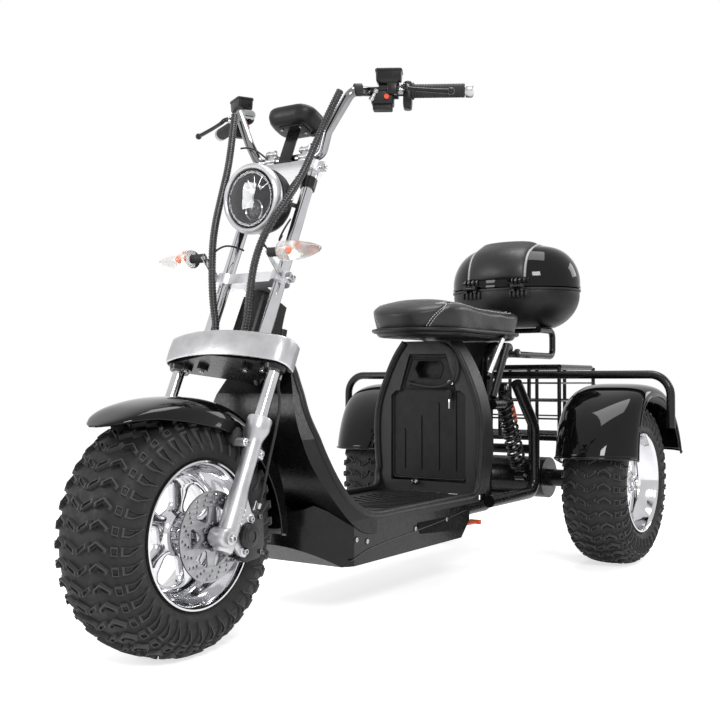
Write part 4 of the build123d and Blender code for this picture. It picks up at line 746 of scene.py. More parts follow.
# -------- yoke cover and clamps
YOKE_ALONG = 362.0
band = []
for t, flare in ((0.0, 0.0), (0.06, 0.8), (0.5, 1.6), (0.94, 0.8), (1.0, 0.0)):
    half = smooth([(154, 46), (160.5, 24), (161, 4), (152, -12), (134, -21), (100, -33), (50, -44),
                   (0, -48)], 6)
    line = half + [(-x, y) for x, y in reversed(half[:-1])]
    band.append([on_fork(x * (1 + flare / 160), y - flare, YOKE_ALONG + 2 + 56 * t) for x, y in line])
build("yoke_cover_band", skin(band, closed=False, caps=False), "steering", CAST, "yoke_cover", solidify=3.0,
      sharp=50)
under = Parts()
for x in (-105, -60, 60, 105):
    boss = FORK @ spot(x, LEG_BACK - 6, YOKE_ALONG)
    under.put(post([(12, -9), (12, 0)]), boss)
    under.put(bolt(5, 4), boss @ spot(0, 0, -9) @ UPSIDE_DOWN, 1)
for side in SIDES:
    under.put(hoop([(-9, 13.6), (-9, 21), (0, 24), (0, 13.6)]),
              FORK @ spot(side * LEG_X, LEG_BACK, YOKE_ALONG) @ X_UP)
build("yoke_bosses", under, "steering", [COAT_BLACK, STEEL])

# -------- headlight
LAMP_Z, LAMP_PIVOT = 933, 286
LAMP = aim(at(0, 249, LAMP_Z), (0, -1, 0))  # local z forwards, local y up
LAMP_ROUND = LAMP @ ROUND_Z
ring = hoop([(-11.5, 66), (-11.5, 74), (-6, 77.4), (1, 78), (7, 76.8), (11.5, 74), (14, 70.4), (13, 67),
             (10, 65), (7, 64), (0, 63.5), (-8, 64.5)], 128)
build("headlight_trim", moved(ring, LAMP_ROUND), "steering", CAST, "headlight_ring", sharp=40)
bucket = hoop([(-12, 65), (-12, 72), (-14, 73), (-36, 73), (-50, 69.5), (-62, 61), (-73, 46), (-80, 26),
               (-83, 8), (-84, 0.5), (-80, 0.5), (-77, 24), (-70, 43), (-60, 57), (-49, 65), (-36, 68),
               (-16, 68)], 96)
shell = Parts()
shell.put(bucket, LAMP_ROUND)
shell.put(hoop([(-20, 72.8), (-20, 74.2), (-17, 74.2), (-17, 72.8)], 96), LAMP_ROUND)
for side in SIDES:
    shell.put(post([(9, 0), (9, 4), (6, 6)]), outward(side, 72, LAMP_PIVOT, LAMP_Z))
build("headlight_shell", shell, "steering", [SATIN, STEEL], "headlight_bucket")
cup = hoop([(9, 62), (2, 60.5), (-12, 52), (-22, 38), (-28, 20), (-30, 2), (-32, 2), (-30, 22), (-24, 40),
            (-13, 55), (0, 63.2), (9, 63.6)], 96)
inside = Parts()
# The inner cup is painted near black: painted shade of the lamp's hollow.
inside.put(cup, LAMP_ROUND)
inside.put(hoop([(-26, 21), (-26, 26), (-2, 24.5), (0, 22.5), (-2, 20.5)], 64),
           LAMP @ spot(2, -24, 0) @ ROUND_Z, 1)
inside.put(post([(20, -24), (20, -8), (17, -1), (11, 4), (5, 6), (0.6, 6.4)], 48),
           LAMP @ spot(2, -24, 0), 2)
fin = plate([[(-30, -1.2), (-6, -1.2), (-6, 1.2), (-30, 1.2)]], 16, 0.6)
for k in range(5):
    t = radians(28 + 31 * k)
    inside.put(fin, LAMP @ spot(0, 12, -22) @ Matrix.Rotation(t, 4, "Z") @ spot(46, 0, 0), 1)
inside.put(post([(9, -26), (10, -18), (7, -12), (3, -10), (0.6, -9.6)], 32), LAMP @ spot(-14, 22, 0), 1)
inside.put(post([(5, -26), (6, -8), (3.6, -5), (0.6, -4.4)], 28), LAMP @ spot(16, 26, 0), 1)
build("headlight_inside", inside, "steering", [SHADE_BLACK, LAMP_SILVER, DARK_GLASS], sharp=40)
front_glass = hoop([(7, 64.2), (9.5, 62), (12, 52), (14.8, 38), (16.8, 20), (17.8, 0.3), (15.2, 0.3),
                    (14.4, 19), (12.4, 37), (9.8, 50), (7, 60)], 96)
build("headlight_glass", moved(front_glass, LAMP_ROUND), "steering", GLASS, "headlight_lens")

brackets = Parts()
stay = [(274, 916), (274, 948), (328, 1000), (350, 1002), (362, 986), (360, 956), (344, 948), (318, 914)]
opening = [(290, 926), (290, 942), (334, 984), (344, 982), (346, 966), (338, 958), (312, 924)]
for side in SIDES:
    flat = plate([corners(stay, 6, 3), corners(opening[::-1], 4, 3)], 3, 0.5)
    brackets.put(flat, spot(70.5 if side > 0 else -73.5, FRONT_Y, 0) @ FACE)
    collar = hoop([(-13, 13.7), (-13, 17), (13, 17), (13, 13.7)])
    brackets.put(collar, FORK @ spot(side * 77, LEG_BACK, 812) @ X_UP)
    brackets.put(bolt(6, 5), outward(side, 73.5, LAMP_PIVOT, LAMP_Z), 1)
    brackets.put(bolt(5, 5), aim(at(side * 62, 330, 986), (-side, 0, 0), (0, 1, 0)), 1)
    brackets.put(block(9, 12, 6, 1, 0.5), outward(side, 66, 340, 986))
build("headlight_brackets", brackets, "steering", [COAT_BLACK, STEEL])

# -------- clamps and risers
clamp = Parts()
for along in (572.0, 854.0):
    for side in SIDES:
        ear = FORK @ spot(side * 97, LEG_BACK - 2, along) @ FACE
        if side < 0:
            ear = ear @ UPSIDE_DOWN
        clamp.put(block(20, 18, 14, 4, 1.5), ear)
        clamp.put(bolt(5, 4.5), ear @ spot(0, 0, 14), 1)
for side in SIDES:
    top = FORK @ spot(side * 48, LEG_BACK, 0)
    clamp.put(hoop([(866.5, 14.5), (866.5, 19), (872, 18), (874, 15.2)]), top @ X_UP)
    clamp.put(block(32, 38, 9, 6, 2), top @ spot(0, 0, 896))
    for dx in (-9, 9):
        for dy in (-13, 13):
            clamp.put(bolt(3.6, 4), top @ spot(dx, dy, 905), 1)
    clamp.put(block(30, 34, 9, 6, 2), top @ spot(0, 0, 878))
build("clamp_details", clamp, "steering", [CAST, STEEL])

# -------- display
DISPLAY = aim(at(0, 405, 1133), (0, 0.36, 0.93))
CASE_LEVELS = ((-20, 84, 54, 20), (-19.5, 92, 62, 24), (-16, 106, 76, 29), (-9, 119, 88, 33),
               (0, 126, 94, 34), (7, 128, 96, 34), (13, 127, 95, 34), (17, 122, 90, 33),
               (19.5, 114, 83, 30), (20, 108, 77, 28))
dash = Parts()
dash.put(stacked(CASE_LEVELS), DISPLAY)
dash.put(block(74, 42, 3, 12, 1), DISPLAY @ spot(0, 0, -22.6))
dash.put(plate([corners(box_outline(104, 72, 26), 1, 1)], 1.6, 0.6), DISPLAY @ spot(0, 0, 19.6), 1)
for x, y in ((-26, -12), (26, -12), (-26, 12), (26, 12)):
    dash.put(bolt(3.2, 3), DISPLAY @ spot(x, y, -22.6) @ UPSIDE_DOWN, 2)
dash.put(block(12, 8, 12, 2, 1), DISPLAY @ spot(38, 24, -26))
build("display_case", dash, "steering", [SATIN, DARK_GLASS, STEEL], "display")
foot = on_fork(0, LEG_BACK - 16, 866.5)
head = DISPLAY @ Vector((0, 0, -20.5))
arm_dir = head - foot
holder = Parts()
holder.put(block(34, 4.4, arm_dir.length, 1, 0.6), aim(foot, arm_dir))
holder.put(block(52, 24, 3, 2, 0.6), FORK @ spot(0, LEG_BACK - 10, 866.6))
for x in (-18, 18):
    holder.put(bolt(4.5, 4), FORK @ spot(x, LEG_BACK - 14, 869), 1)
build("display_holder", holder, "steering", [COAT_BLACK, STEEL], "display_bracket")

# -------- grips, levers and switches
GRIP_START, GRIP_END = at(253, 500, 1189), at(360, 556, 1187)
GRIP_ALONG = (GRIP_END - GRIP_START).normalized()
GRIP_LENGTH = (GRIP_END - GRIP_START).length


def on_bar(before):
    """A frame on the left bar so far inboard of its grip: local x out along the bar, local z up."""
    place = GRIP_START - GRIP_ALONG * before
    up = (Vector((0, 0, 1)) - GRIP_ALONG * GRIP_ALONG.z).normalized()
    return aim(place, up, GRIP_ALONG)


grip = [(-5, 11.6), (-5, 18.4), (-2.5, 19), (0, 18.4), (1, 15.2)]
for k in range(17):
    grip += [(3 + 6.2 * k, 15.5), (4 + 6.2 * k, 15.0), (6.4 + 6.2 * k, 15.0), (7.4 + 6.2 * k, 15.6)]
grip += [(112, 15.4), (113.6, 14.6), (113.8, 11.6)]
left = Parts()
left.put(hoop(grip, 40), on_bar(-6))
build("grip_rubbers", left.both(), "steering", SOFT_BLACK, "grips")
left = Parts()
left.put(lathe([(0, 0.4), (0, 15.6), (2, 16), (13, 16), (16.5, 14.5), (18, 11), (18, 0.4)], 40),
         on_bar(-GRIP_LENGTH - 0.5))
build("bar_weights", left.both(), "steering", STEEL, "bar_ends")

perch = on_bar(42)
tank = perch @ spot(-8, -14, 12)
left = Parts()
left.put(hoop([(-13, 11.6), (-13, 17.5), (13, 17.5), (13, 11.6)]), perch)
left.put(block(24, 20, 26, 4, 1.5), perch @ spot(0, -20, -13))
left.put(stacked([(z, 56 + g, 38 + g, 6) for z, g in ((0, -10), (3, -3), (6, 0), (25, 2))]), tank)
left.put(stacked([(z, 61 + g, 43 + g, 7) for z, g in ((25.4, -1), (26.4, 0), (30.4, 0), (32, -2.5))]), tank)
for x in (-20, 20):
    left.put(bolt(3.2, 2), tank @ spot(x, 0, 31.6), 1)
left.put(post([(8, 0), (8, 26), (6.5, 28)], 28), facing(perch, (-30, -20, 3), (1, 0, 0)))
left.put(post([(5, -9), (6.5, -8), (6.5, 9), (5, 10)]), perch @ spot(22, -32, 0), 1)
pivot = perch @ Vector((18, -30, 0))
tip = perch.translation + GRIP_ALONG * 172 + Vector((0, -86, -22))
fall = [perch.translation + GRIP_ALONG * x + Vector((0, y, z))
        for x, y, z in ((66, -58, -8), (98, -66, -13), (134, -76, -18))]
blade_line = smooth([tuple(pivot), tuple(perch @ Vector((34, -42, 0))), *(tuple(p) for p in fall),
                     tuple(tip)], 8)
count = len(blade_line)
blade_radii = [6.2 - 1.7 * min(1, 2.2 * k / count) + 0.7 * (k / count) ** 2 for k in range(count)]
left.put(tube(blade_line, blade_radii, 16))
left.put(egg(8, 8, 12), aim(tip, GRIP_ALONG, (0, 0, 1)))
left.put(post([(6, 0), (6, 8), (4.4, 9), (4.4, 20), (6.6, 21), (6.6, 27)], 20),
         aim(perch @ Vector((-34, -22, -2)), (-0.5, -0.3, -1)), 1)
build("levers_and_masters", left.both(), "steering", [COAT_BLACK, STEEL], "brake_levers")

pod = on_bar(8)
levels = ((-41, 14, 28, 7), (-39, 18, 34, 7), (-30, 20, 39, 7), (10, 20, 40, 7), (17, 18, 36, 7),
          (20, 14, 28, 7))
left = Parts()
left.put(stacked(levels), pod)
left.put(block(9, 9, 3, 2, 1), pod @ spot(0, 8, 19.4), 1)
left.put(post([(5, 0), (5, 2.4), (3.6, 3.2)], 20), facing(pod, (0, 19.5, -12), (0, 1, 0)), 1)
left.put(block(8, 12, 3, 2, 1), facing(pod, (0, 19.5, -28), (0, 1, 0)), 2)
hanging = on_bar(64)
box = Parts()
box.put(block(50, 42, 38, 7, 3), hanging @ spot(0, -2, -33))
box.put(block(44, 30, 12, 5, 2), hanging @ spot(0, -2, -44), 2)
box.put(post([(6, 0), (6, 3), (5, 4)], 20), facing(hanging, (10, -24, -18), (0, -1, 0)), 1)
build("switch_housings", left.both() + box, "steering", [SATIN, LATCH_RED, SOFT_BLACK], "switch_pods")
left = Parts()
left.put(post([(11.6, -9), (14, -8), (14, 8), (11.6, 9)], 32), aim(at(-172, 404, 1182), (-0.6, 0.8, 0.1)))
build("bar_fittings", left.both(), "steering", SOFT_BLACK)

# -------- looms and hose
LOOM_SKIN = paint("loom_weave", 0.006, 0.013, (0.2, 0.3), specular=0.45, bump=0.25, grain=520,
                  wear=0.06, spread=60)
LEFT_ROUTE = [(150, -54, 1004), (120, -42, 930), (108, -38, 860), (102, -42, 791), (94, -60, 715),
              (72, -66, 650), (50, -52, 587), (40, -26, 515), (34, 2, 450), (34, 2, 386.5)]
RIGHT_ROUTE = [(-150, -54, 991), (-122, -48, 865), (-105, -54, 758), (-84, -62, 655), (-70, -48, 575),
               (-60, -22, 500), (-44, 2, 440), (-44, 2, 386.5)]
HOSE_ROUTE = [(125, 89, 86), (132, 82, 110), (146, 56, 180), (152, 44, 250), (142, 44, 305), (122, 46, 336),
              (122, 46, 361)]


def route(name, points):
    """The points of a smooth spline that a flexible line follows."""
    curve = bpy.data.curves.new(name, "CURVE")
    curve.dimensions = "3D"
    curve.resolution_u = 14
    spline = curve.splines.new("NURBS")
    spline.points.add(len(points) - 1)
    for point, place in zip(spline.points, points):
        point.co = (*place, 1)
    spline.order_u = 3
    spline.use_endpoint_u = True
    return meshed(curve)[0]


def evenly(line, step):
    """The same line, with its points a given step apart."""
    line = [Vector(p) for p in line]
    out, left_over = [line[0]], 0.0
    for a, b in zip(line, line[1:]):
        length = (b - a).length
        place = step - left_over
        while place < length:
            out.append(a + (b - a) * (place / length))
            place += step
        left_over = (left_over + length) % step
    return out + [line[-1]]


for name, points in (("loom_left", LEFT_ROUTE), ("loom_right", RIGHT_ROUTE)):
    line = evenly(route(name + "_line", [on_fork(*p) for p in points]), 1.6)
    sizes = [7.2 + 1.5 * sin(k * pi / 4) ** 2 for k in range(len(line))]
    build(name + "_sleeve", [(tube(line, sizes, 14), 0)], "steering", LOOM_SKIN, name, sharp=60)
line = evenly(route("hose_line", [on_fork(*p) for p in HOSE_ROUTE]), 6)
hose = Parts()
hose.put(tube(line, 3, 14))
for end, nearer in ((line[0], line[1]), (line[-1], line[-2])):
    hose.put(post([(3.1, 0), (4.6, 1), (4.6, 12), (3.1, 13)], 18), aim(end, nearer - end), 1)
build("brake_hose_line", hose, "steering", [SOFT_BLACK, STEEL], "brake_hose")

# -------- signals
SIGNAL_BACK, SIGNAL_Z = 193, 804
# Half depth and half height of a signal, each with its x.
SIGNAL = [(126, 24, 19), (128, 26, 20), (140, 26.5, 20.5), (160, 25, 19.5), (182, 21, 16.5),
          (200, 15.5, 12.5), (214, 9.5, 8), (222, 4, 3.6)]
lens_parts, backs = Parts(), Parts()
for side in SIDES:
    base = spot(*at(0, SIGNAL_BACK, SIGNAL_Z))
    front, rear = [], []
    for x, b, h in smooth(SIGNAL, 3):
        arc = [radians(64 + 232 * k / 28) for k in range(29)]
        front.append([(side * x, b * cos(t), h * sin(t)) for t in arc])
        arc = [radians(-66 + 132 * k / 18) for k in range(19)]
        rear.append([(side * x, b * cos(t) * 1.02 + 0.4, h * sin(t) * 1.02) for t in arc])
    lens_parts.put(skin(front), base)
    backs.put(skin(rear), base)
    mirror = [[(x, y * 0.93 - 2.2, z * 0.9) for x, y, z in ring] for ring in rear[2:-2]]
    backs.put(skin(mirror), base, 2)
    backs.put(egg(5.2, 8, 10), outward(side, 152, 185, SIGNAL_Z), 1)
    bracket = at(side * 90, SIGNAL_BACK, SIGNAL_Z)
    down = on_fork(side * 90, LEG_BACK - 24, 574) - bracket
    backs.put(block(4, 16, down.length + 16, 3, 1), aim(bracket - down.normalized() * 8, down), 4)
    backs.put(bolt(5, 3), aim(bracket - Vector((side * 2, 0, 0)), (-side, 0, 0), (0, 1, 0)), 4)
    line = evenly([at(side * 125.5, SIGNAL_BACK, SIGNAL_Z), bracket], 1.6)
    backs.put(tube(line, [8.6 + 1.5 * (k % 4 in (0, 1)) for k in range(len(line))], 20), paint=3)
build("signal_lenses", lens_parts, "steering", SIGNAL_GLASS, "signals", sharp=40)
build("signal_bodies", backs, "steering", [SOFT_BLACK, ORANGE, MIRROR_SILVER, SOFT_BLACK, STEEL],
      "signal_stalks", sharp=30)

# -------- small leads round the head
HEAD_LEADS = (
    [(-92, -30, 585), (-82, -48, 600), (-64, -54, 618), (-40, -44, 632), (-30, -10, 636)],
    [(90, -30, 585), (78, -44, 604), (60, -52, 622), (38, -38, 636), (30, -8, 640)],
    [(20, 40, 700), (34, 20, 668), (46, 8, 680), (40, 24, 720), (30, 40, 742)],
    [(-30, 12, 868), (-60, -6, 892), (-96, -26, 912), (-112, -38, 900)],
    [(30, 6, 868), (44, 24, 900), (40, 44, 926), (24, 40, 948)],
)
leads = Parts()
for points in HEAD_LEADS:
    leads.put(tube(evenly(route("lead", [on_fork(*p) for p in points]), 4), 2.1, 10))
build("head_leads", leads, "steering", SOFT_BLACK)

# -------- saddle
SEAT_FRONT, SEAT_REAR, SEAT_HALF, SEAT_LOW = 846.0, 1416.0, 136.0, 676.5
SEAT_PROFILE = smooth([(838, 733), (868, 748), (910, 757), (960, 760), (1040, 758), (1120, 753),
                       (1200, 749), (1280, 750), (1350, 757), (1390, 754), (1424, 740)], 8)
STRAIGHT, TURN = SEAT_REAR - SEAT_FRONT - 2 * SEAT_HALF, pi * SEAT_HALF
SEAT_ROUND = 2 * (STRAIGHT + TURN)  # length of the plan outline
SIDE_HEIGHT = 86  # length of the saddle's side, up to its shoulder
SEAM = [(620, SIDE_HEIGHT), (-40, SIDE_HEIGHT), (-60, 80), (-84, 62), (-110, 34), (-132, -4)]


def seat_top(along):
    """Height of the saddle's ridge so far behind the front axle."""
    for a, b in zip(SEAT_PROFILE, SEAT_PROFILE[1:]):
        if a[0] <= along <= b[0]:
            return a[1] + (b[1] - a[1]) * (along - a[0]) / (b[0] - a[0])
    return SEAT_PROFILE[0][1] if along < SEAT_PROFILE[0][0] else SEAT_PROFILE[-1][1]


def seam_gap(s, level):
    """How far a point of the saddle is from the seam that runs along each shoulder and down the nose."""
    run, up = (s % 1) * SEAT_ROUND, SIDE_HEIGHT * level
    if run > 2 * STRAIGHT + 1.5 * TURN:
        run -= SEAT_ROUND
    elif run > STRAIGHT + TURN / 2:
        run = 2 * STRAIGHT + TURN - run
    best = 99.0
    for (xa, ya), (xb, yb) in zip(SEAM, SEAM[1:]):
        dx, dy = xb - xa, yb - ya
        t = max(0.0, min(1.0, ((run - xa) * dx + (up - ya) * dy) / (dx * dx + dy * dy)))
        best = min(best, hypot(run - xa - t * dx, up - ya - t * dy))
    return best


def slot_point(s, inset):
    """A point of the saddle's plan outline: s runs round it from 0 to 1."""
    run = (s % 1) * SEAT_ROUND
    if run < STRAIGHT:
        middle, normal = (0, SEAT_FRONT + SEAT_HALF + run), (1, 0)
    elif run < STRAIGHT + TURN:
        t = (run - STRAIGHT) / SEAT_HALF
        middle, normal = (0, SEAT_REAR - SEAT_HALF), (cos(t), sin(t))
    elif run < 2 * STRAIGHT + TURN:
        middle, normal = (0, SEAT_REAR - SEAT_HALF - (run - STRAIGHT - TURN)), (-1, 0)
    else:
        t = (run - 2 * STRAIGHT - TURN) / SEAT_HALF
        middle, normal = (0, SEAT_FRONT + SEAT_HALF), (-cos(t), -sin(t))
    waist = 1 - 0.05 * exp(-((middle[1] + normal[1] * SEAT_HALF - 1120) / 90) ** 2)
    return middle[0] + normal[0] * (SEAT_HALF * waist - inset), middle[1] + normal[1] * (SEAT_HALF - inset)


def seat_skin(s, level, proud=0.0):
    """A point of the saddle. Level 0 is its lower edge, 1 its shoulder and 2 its middle."""
    groove = exp(-(seam_gap(s, level) / 3.6) ** 2)
    if level <= 1:
        inset = 11 - 11 * sin(pi * min(1, level * 1.35) / 2)
        inset = inset + 26 * max(0, level - 0.6) ** 2 / 0.16 + 4 * groove - proud
        x, y = slot_point(s, inset)
        z = SEAT_LOW + (seat_top(y) - 12 - SEAT_LOW) * (1 - (1 - level) ** 1.25) - 2.5 * groove * level
    else:
        t = level - 1
        x, y = slot_point(s, 26 + (SEAT_HALF - 27) * t)
        dished = 5 * exp(-((t - 1) / 0.35) ** 2) * (y > 1040)
        z = seat_top(y) - 12 * (1 - t) ** 2.2 + 2.0 * sin(pi * min(1, t)) - dished - 4 * groove + proud
    if 0.1 < level < 1.2:
        x += 1.1 * sin(0.043 * y + 6.5 * level) * sin(0.017 * y + 0.4)
        z += 0.8 * sin(0.031 * y + 0.02 * x)
    return x, behind(y), z


SEAT_STEPS = 220
levels = [k / 18 for k in range(19)] + [1 + k / 20 for k in range(1, 21)]
rings = [[seat_skin(i / SEAT_STEPS, level) for i in range(SEAT_STEPS)] for level in levels]
saddle = build("saddle", skin(rings), "frame", VINYL, "seat_cushion", sharp=80)

threads = Parts()
for side in SIDES:
    for offset in (-4.6, 4.6):
        row = []
        for run, up in smooth(SEAM, 40):
            if up < 4:
                continue
            dip = max(0.0, min(1.0, (-40 - run) / 50))
            place = run + offset * dip
            height = up + offset * (1 - dip)
            s = (place if side > 0 else 2 * STRAIGHT + TURN - place) / SEAT_ROUND
            row.append(seat_skin(s, height / SIDE_HEIGHT, 0.7))
        line = evenly(row, 1.0)
        for i in range(0, len(line) - 6, 7):
            threads.put(tube([line[i], line[i + 2], line[i + 4], line[i + 5]], [0.5, 0.8, 0.8, 0.5], 6))
build("saddle_stitches", threads, "frame", THREAD)

# The seat pan: heights, and how far each is inside the saddle's outline.
PAN = ((656.8, 26), (657, 20), (659, 14), (664, 10), (667, 9.5), (668.5, 1), (671, -3.5), (675, -4.5),
       (678, -3), (679.5, 4), (679.6, 20))
pan = []
for z, inset in PAN:
    pan.append([(x, behind(y), z) for x, y in (slot_point(i / 160, inset) for i in range(160))])
build("seat_pan", skin(pan), "frame", SATIN, "seat_base", sharp=50)

# -------- top case and its pad
CASE_Y, BELT = 1590.0, 832.0
CASE_HALF_X, CASE_HALF_Y = 212, 160
HINGE_X = 82
DOME = smooth([(0, 0), (60, 6), (105, 34), (136, 96)], 10)


def dome_at(x, run):
    """A point of the lid's front on the vertical section at x: run 0 to 1 climbs, 1 to 2 crosses the top."""
    if run <= 1:
        place = run * (len(DOME) - 1)
        i = min(int(place), len(DOME) - 2)
        z, s = (DOME[i][k] + (DOME[i + 1][k] - DOME[i][k]) * (place - i) for k in (0, 1))
        half_w, half_l = CASE_HALF_X - s, CASE_HALF_Y - 0.82 * s
        return Vector((x, CASE_Y - half_l * sqrt(max(0.0, 1 - (x / half_w) ** 2)), BELT + z))
    start = dome_at(x, 1)
    return Vector((x, start.y + (CASE_Y + 34 - start.y) * (run - 1), start.z))


pad_outer, pad_inner = [], []
PAD_ROWS, PAD_COLUMNS, PAD_START = 56, 30, 0.12
for i in range(PAD_ROWS + 1):
    run = PAD_START + (2 - PAD_START) * i / PAD_ROWS
    v = 2 * i / PAD_ROWS - 1
    outer, inner = [], []
    for j in range(PAD_COLUMNS + 1):
        u = 2 * j / PAD_COLUMNS - 1
        x = 97 * u
        here = dome_at(x, run)
        tangent = (dome_at(x, min(2, run + 0.02)) - dome_at(x, max(0, run - 0.02))).normalized()
        normal = Vector((0, -tangent.z, tangent.y)).normalized()
        corner = exp(-((run - 1.0) / 0.28) ** 2)
        soft = (1 - abs(u) ** 7) ** 0.5 * (1 - abs(v) ** 12) ** 0.5
        thick = 2 + (7 + 5 * corner) * soft + 2.0 * (1 - u * u) * (1 - v * v)
        top = here + normal * thick
        low = here + normal * 0.6
        outer.append((top.x, behind(top.y), top.z))
        inner.append((low.x, behind(low.y), low.z))
    pad_outer.append(outer)
    pad_inner.append(inner)
pad = [a + list(reversed(b)) for a, b in zip(pad_outer, pad_inner)]
back_pad = build("back_pad", skin(pad), "case_lid_body", VINYL, "backrest_pad", sharp=70)
trim = Parts()
for edge, radius in (([row[0] for row in pad_outer], 4.0), ([row[-1] for row in pad_outer], 4.0),
                     (pad_outer[-1], 2.6)):
    trim.put(tube(evenly(edge, 4), radius, 12))
build("pad_piping", trim, "case_lid_body", PIPING)

hinge_low, hinge_high = Parts(), Parts()
for side in SIDES:
    front = CASE_Y - CASE_HALF_Y * sqrt(1 - (HINGE_X / CASE_HALF_X) ** 2)
    for k in range(5):
        x = side * HINGE_X - 28 + 14 * k
        hinge_low.put(block(7, 12, 24, 1.5, 1), spot(x, behind(front - 7), 796))
    for k in range(4):
        x = side * HINGE_X - 21 + 14 * k
        hinge_high.put(block(7, 11, 19, 1.5, 1), spot(x, behind(front - 6), 840))
    hinge_low.put(block(68, 9, 20, 3, 1.5), spot(side * HINGE_X, behind(front - 2), 797))
    hinge_high.put(block(66, 9, 15, 3, 1.5), spot(side * HINGE_X, behind(front - 2), 842))
build("hinge_plates_low", hinge_low, "frame", SATIN)
build("hinge_plates_high", hinge_high, "case_lid_body", GLOSS)
# The catch of the case: height, half width, and where its front and back are.
CATCH = ((811, 14, 1754, 1758), (813, 17, 1753, 1761), (826, 18, 1752.5, 1765), (838, 18, 1752.5, 1766),
         (851, 17, 1752.5, 1762), (855, 14, 1754, 1758))
latch = []
for z, w, front, back in CATCH:
    outline = corners([(-w, front), (w, front), (w, back), (-w, back)], 3, 3)
    latch.append([(x, behind(y), z) for x, y in outline])
build("case_catch", skin(latch), "frame", LATCH_RED, "case_latch")

# -------- body trim
FLOOR_Z = 226.0
PANEL_BOLTS = ((418, 184), (461, 175), (674, 178), (830, 183))
RECESS = ((678, 191), (905, 188), (888, 148), (698, 162))
SHIELD_HALF = [(760, 38), (620, 42), (556, 84), (505, 108), (412, 135), (300, 154), (226, 160), (100, 160)]


def shield_half(z):
    """Half the width of the leg shield at a height."""
    for (za, a), (zb, b) in zip(SHIELD_HALF, SHIELD_HALF[1:]):
        if zb <= z <= za:
            return b + (a - b) * (z - zb) / (za - zb)
    return 160.0


top = on_fork(0, 100, 549)
lip_line = smooth([(top.y - FRONT_Y, top.z), (285, 510), (305, 412), (366, 302), (436, FLOOR_Z + 24),
                   (500, FLOOR_Z + 6), (620, FLOOR_Z + 5)], 8)
tower_edge = smooth([(165, 290), (170, 360), (170, 430), (162, 480), (148, 520), (127, 570), (104, 612),
                     (80, 644)], 5)
lips = Parts()
for side in SIDES:
    line = [Vector((side * (shield_half(z) - 4), behind(y), z)) for y, z in lip_line if z < 660]
    line += [at(side * 156, y, FLOOR_Z + 5) for y in (700, 800, 900, 960)]
    for y, z, x in ((985, FLOOR_Z + 8, 157), (1002, FLOOR_Z + 22, 159), (1008, FLOOR_Z + 48, 163)):
        line.append(at(side * x, y, z))
    line += [Vector((side * (x - 6), behind(1009), z)) for x, z in tower_edge]
    line = evenly(smooth(line, 3), 7)
    lips.put(tube(line, 9.5, 18))
    inner = evenly([Vector((v.x - side * 13, v.y + 1, v.z - 1)) for v in line if v.y < behind(520)], 7)
    lips.put(tube(inner, 3.2, 10))
build("body_lips", lips, "frame", SATIN)

fixings = Parts()
for y, z in PANEL_BOLTS:
    for side in SIDES:
        face = outward(side, 157.6, y, z)
        fixings.put(post([(9, -2), (9, 0.6), (7.5, 1.2)], 28), face)
        fixings.put(bolt(5, 2.6), face @ spot(0, 0, 1), 1)
for side in SIDES:
    # A thin near-black plate in the outline of each side recess: painted shade where the recess is.
    fixings.put(plate([corners(RECESS, 6, 4)], 1.4, 0.5),
                spot(157.8 if side > 0 else -159.2, FRONT_Y, 0) @ FACE, 2)
    seam = [at(side * 158.4, y, z) for y, z in ((395, 140), (480, 158), (640, 170), (800, 182), (940, 196))]
    fixings.put(tube(evenly(smooth(seam, 6), 8), 1.6, 8))
build("side_fixings", fixings, "frame", [PANEL, STEEL, SHADE_BLACK])

# -------- battery
CELL_BACK = 1019


def upright(outline):
    """A closed outline that stands on the battery's back."""
    line = [at(x, CELL_BACK, z) for x, z in outline]
    return line + line[:1]


edge = [(119, 262), (119, 496), (103, 510), (91, 510), (59, 612)]
outline = edge + [(-x, z) for x, z in reversed(edge)]
bead = corners([(x * 0.975, (z - 430) * 0.985 + 430) for x, z in outline], 10, 4)
frame_line = corners([(86, 514), (56, 600), (-56, 600), (-86, 514)], 8, 4)
grip_line = corners([(46, 572), (33, 594), (-33, 594), (-46, 572), (-33, 544), (33, 544)], 4, 3)
cell = Parts()
for loop, step, radius in ((bead, 5, 3.2), (frame_line, 5, 2.6), (grip_line, 4, 2.2)):
    cell.put(tube(evenly(upright(loop), step), radius, 10))
cell.put(post([(9, -2), (9, 5), (7, 7)], 28), aim(at(70, CELL_BACK, 532), (0, -1, 0)), 1)
cell.put(post([(7, -2), (7, 10), (5.5, 12)]), aim(at(-58, CELL_BACK, 530), (0, -1, 0)))
key = aim(at(70, 1010, 512), (0, -1, 0))
cell.put(block(3, 10, 12, 0.8, 0.4), aim(at(70, 1015, 532), (0, -1, 0)), 2)
cell.put(plate([corners([(-7, -26), (7, -26), (9, -8), (5, 0), (-5, 0), (-9, -8)], 3, 3)], 4, 0.6), key)
cell.put(plate([[(-2.6, -52), (2.6, -52), (2.6, -26), (-2.6, -26)]], 2, 0.3), key, 2)
cell.put(post([(8, -1), (8, 8), (6, 9)]), aim(at(-34, 1006, FLOOR_Z + 26), (0, -0.7, 0.7)), 2)
cell.put(plate([corners([(-7, 0), (7, 0), (8, 16), (-8, 16)], 3, 3)], 2.4, 0.5),
         aim(at(-34, 996, FLOOR_Z + 32), (1, 0, 0), (0, -0.3, 1)), 2)
build("battery_trim", cell, "frame", [BATTERY, CHROME, STEEL])
BATTERY_LEAD = [(40, 1012, 640), (72, 1000, 636), (92, 996, 600), (96, 998, 560), (80, 998, 528),
                (30, 1000, 518), (-20, 1004, 524), (-56, 1010, 530)]
lead = route("battery_lead", [at(*p) for p in BATTERY_LEAD])
build("battery_lead_line", tube(evenly(lead, 5), 4.2, 14), "frame", SOFT_BLACK)

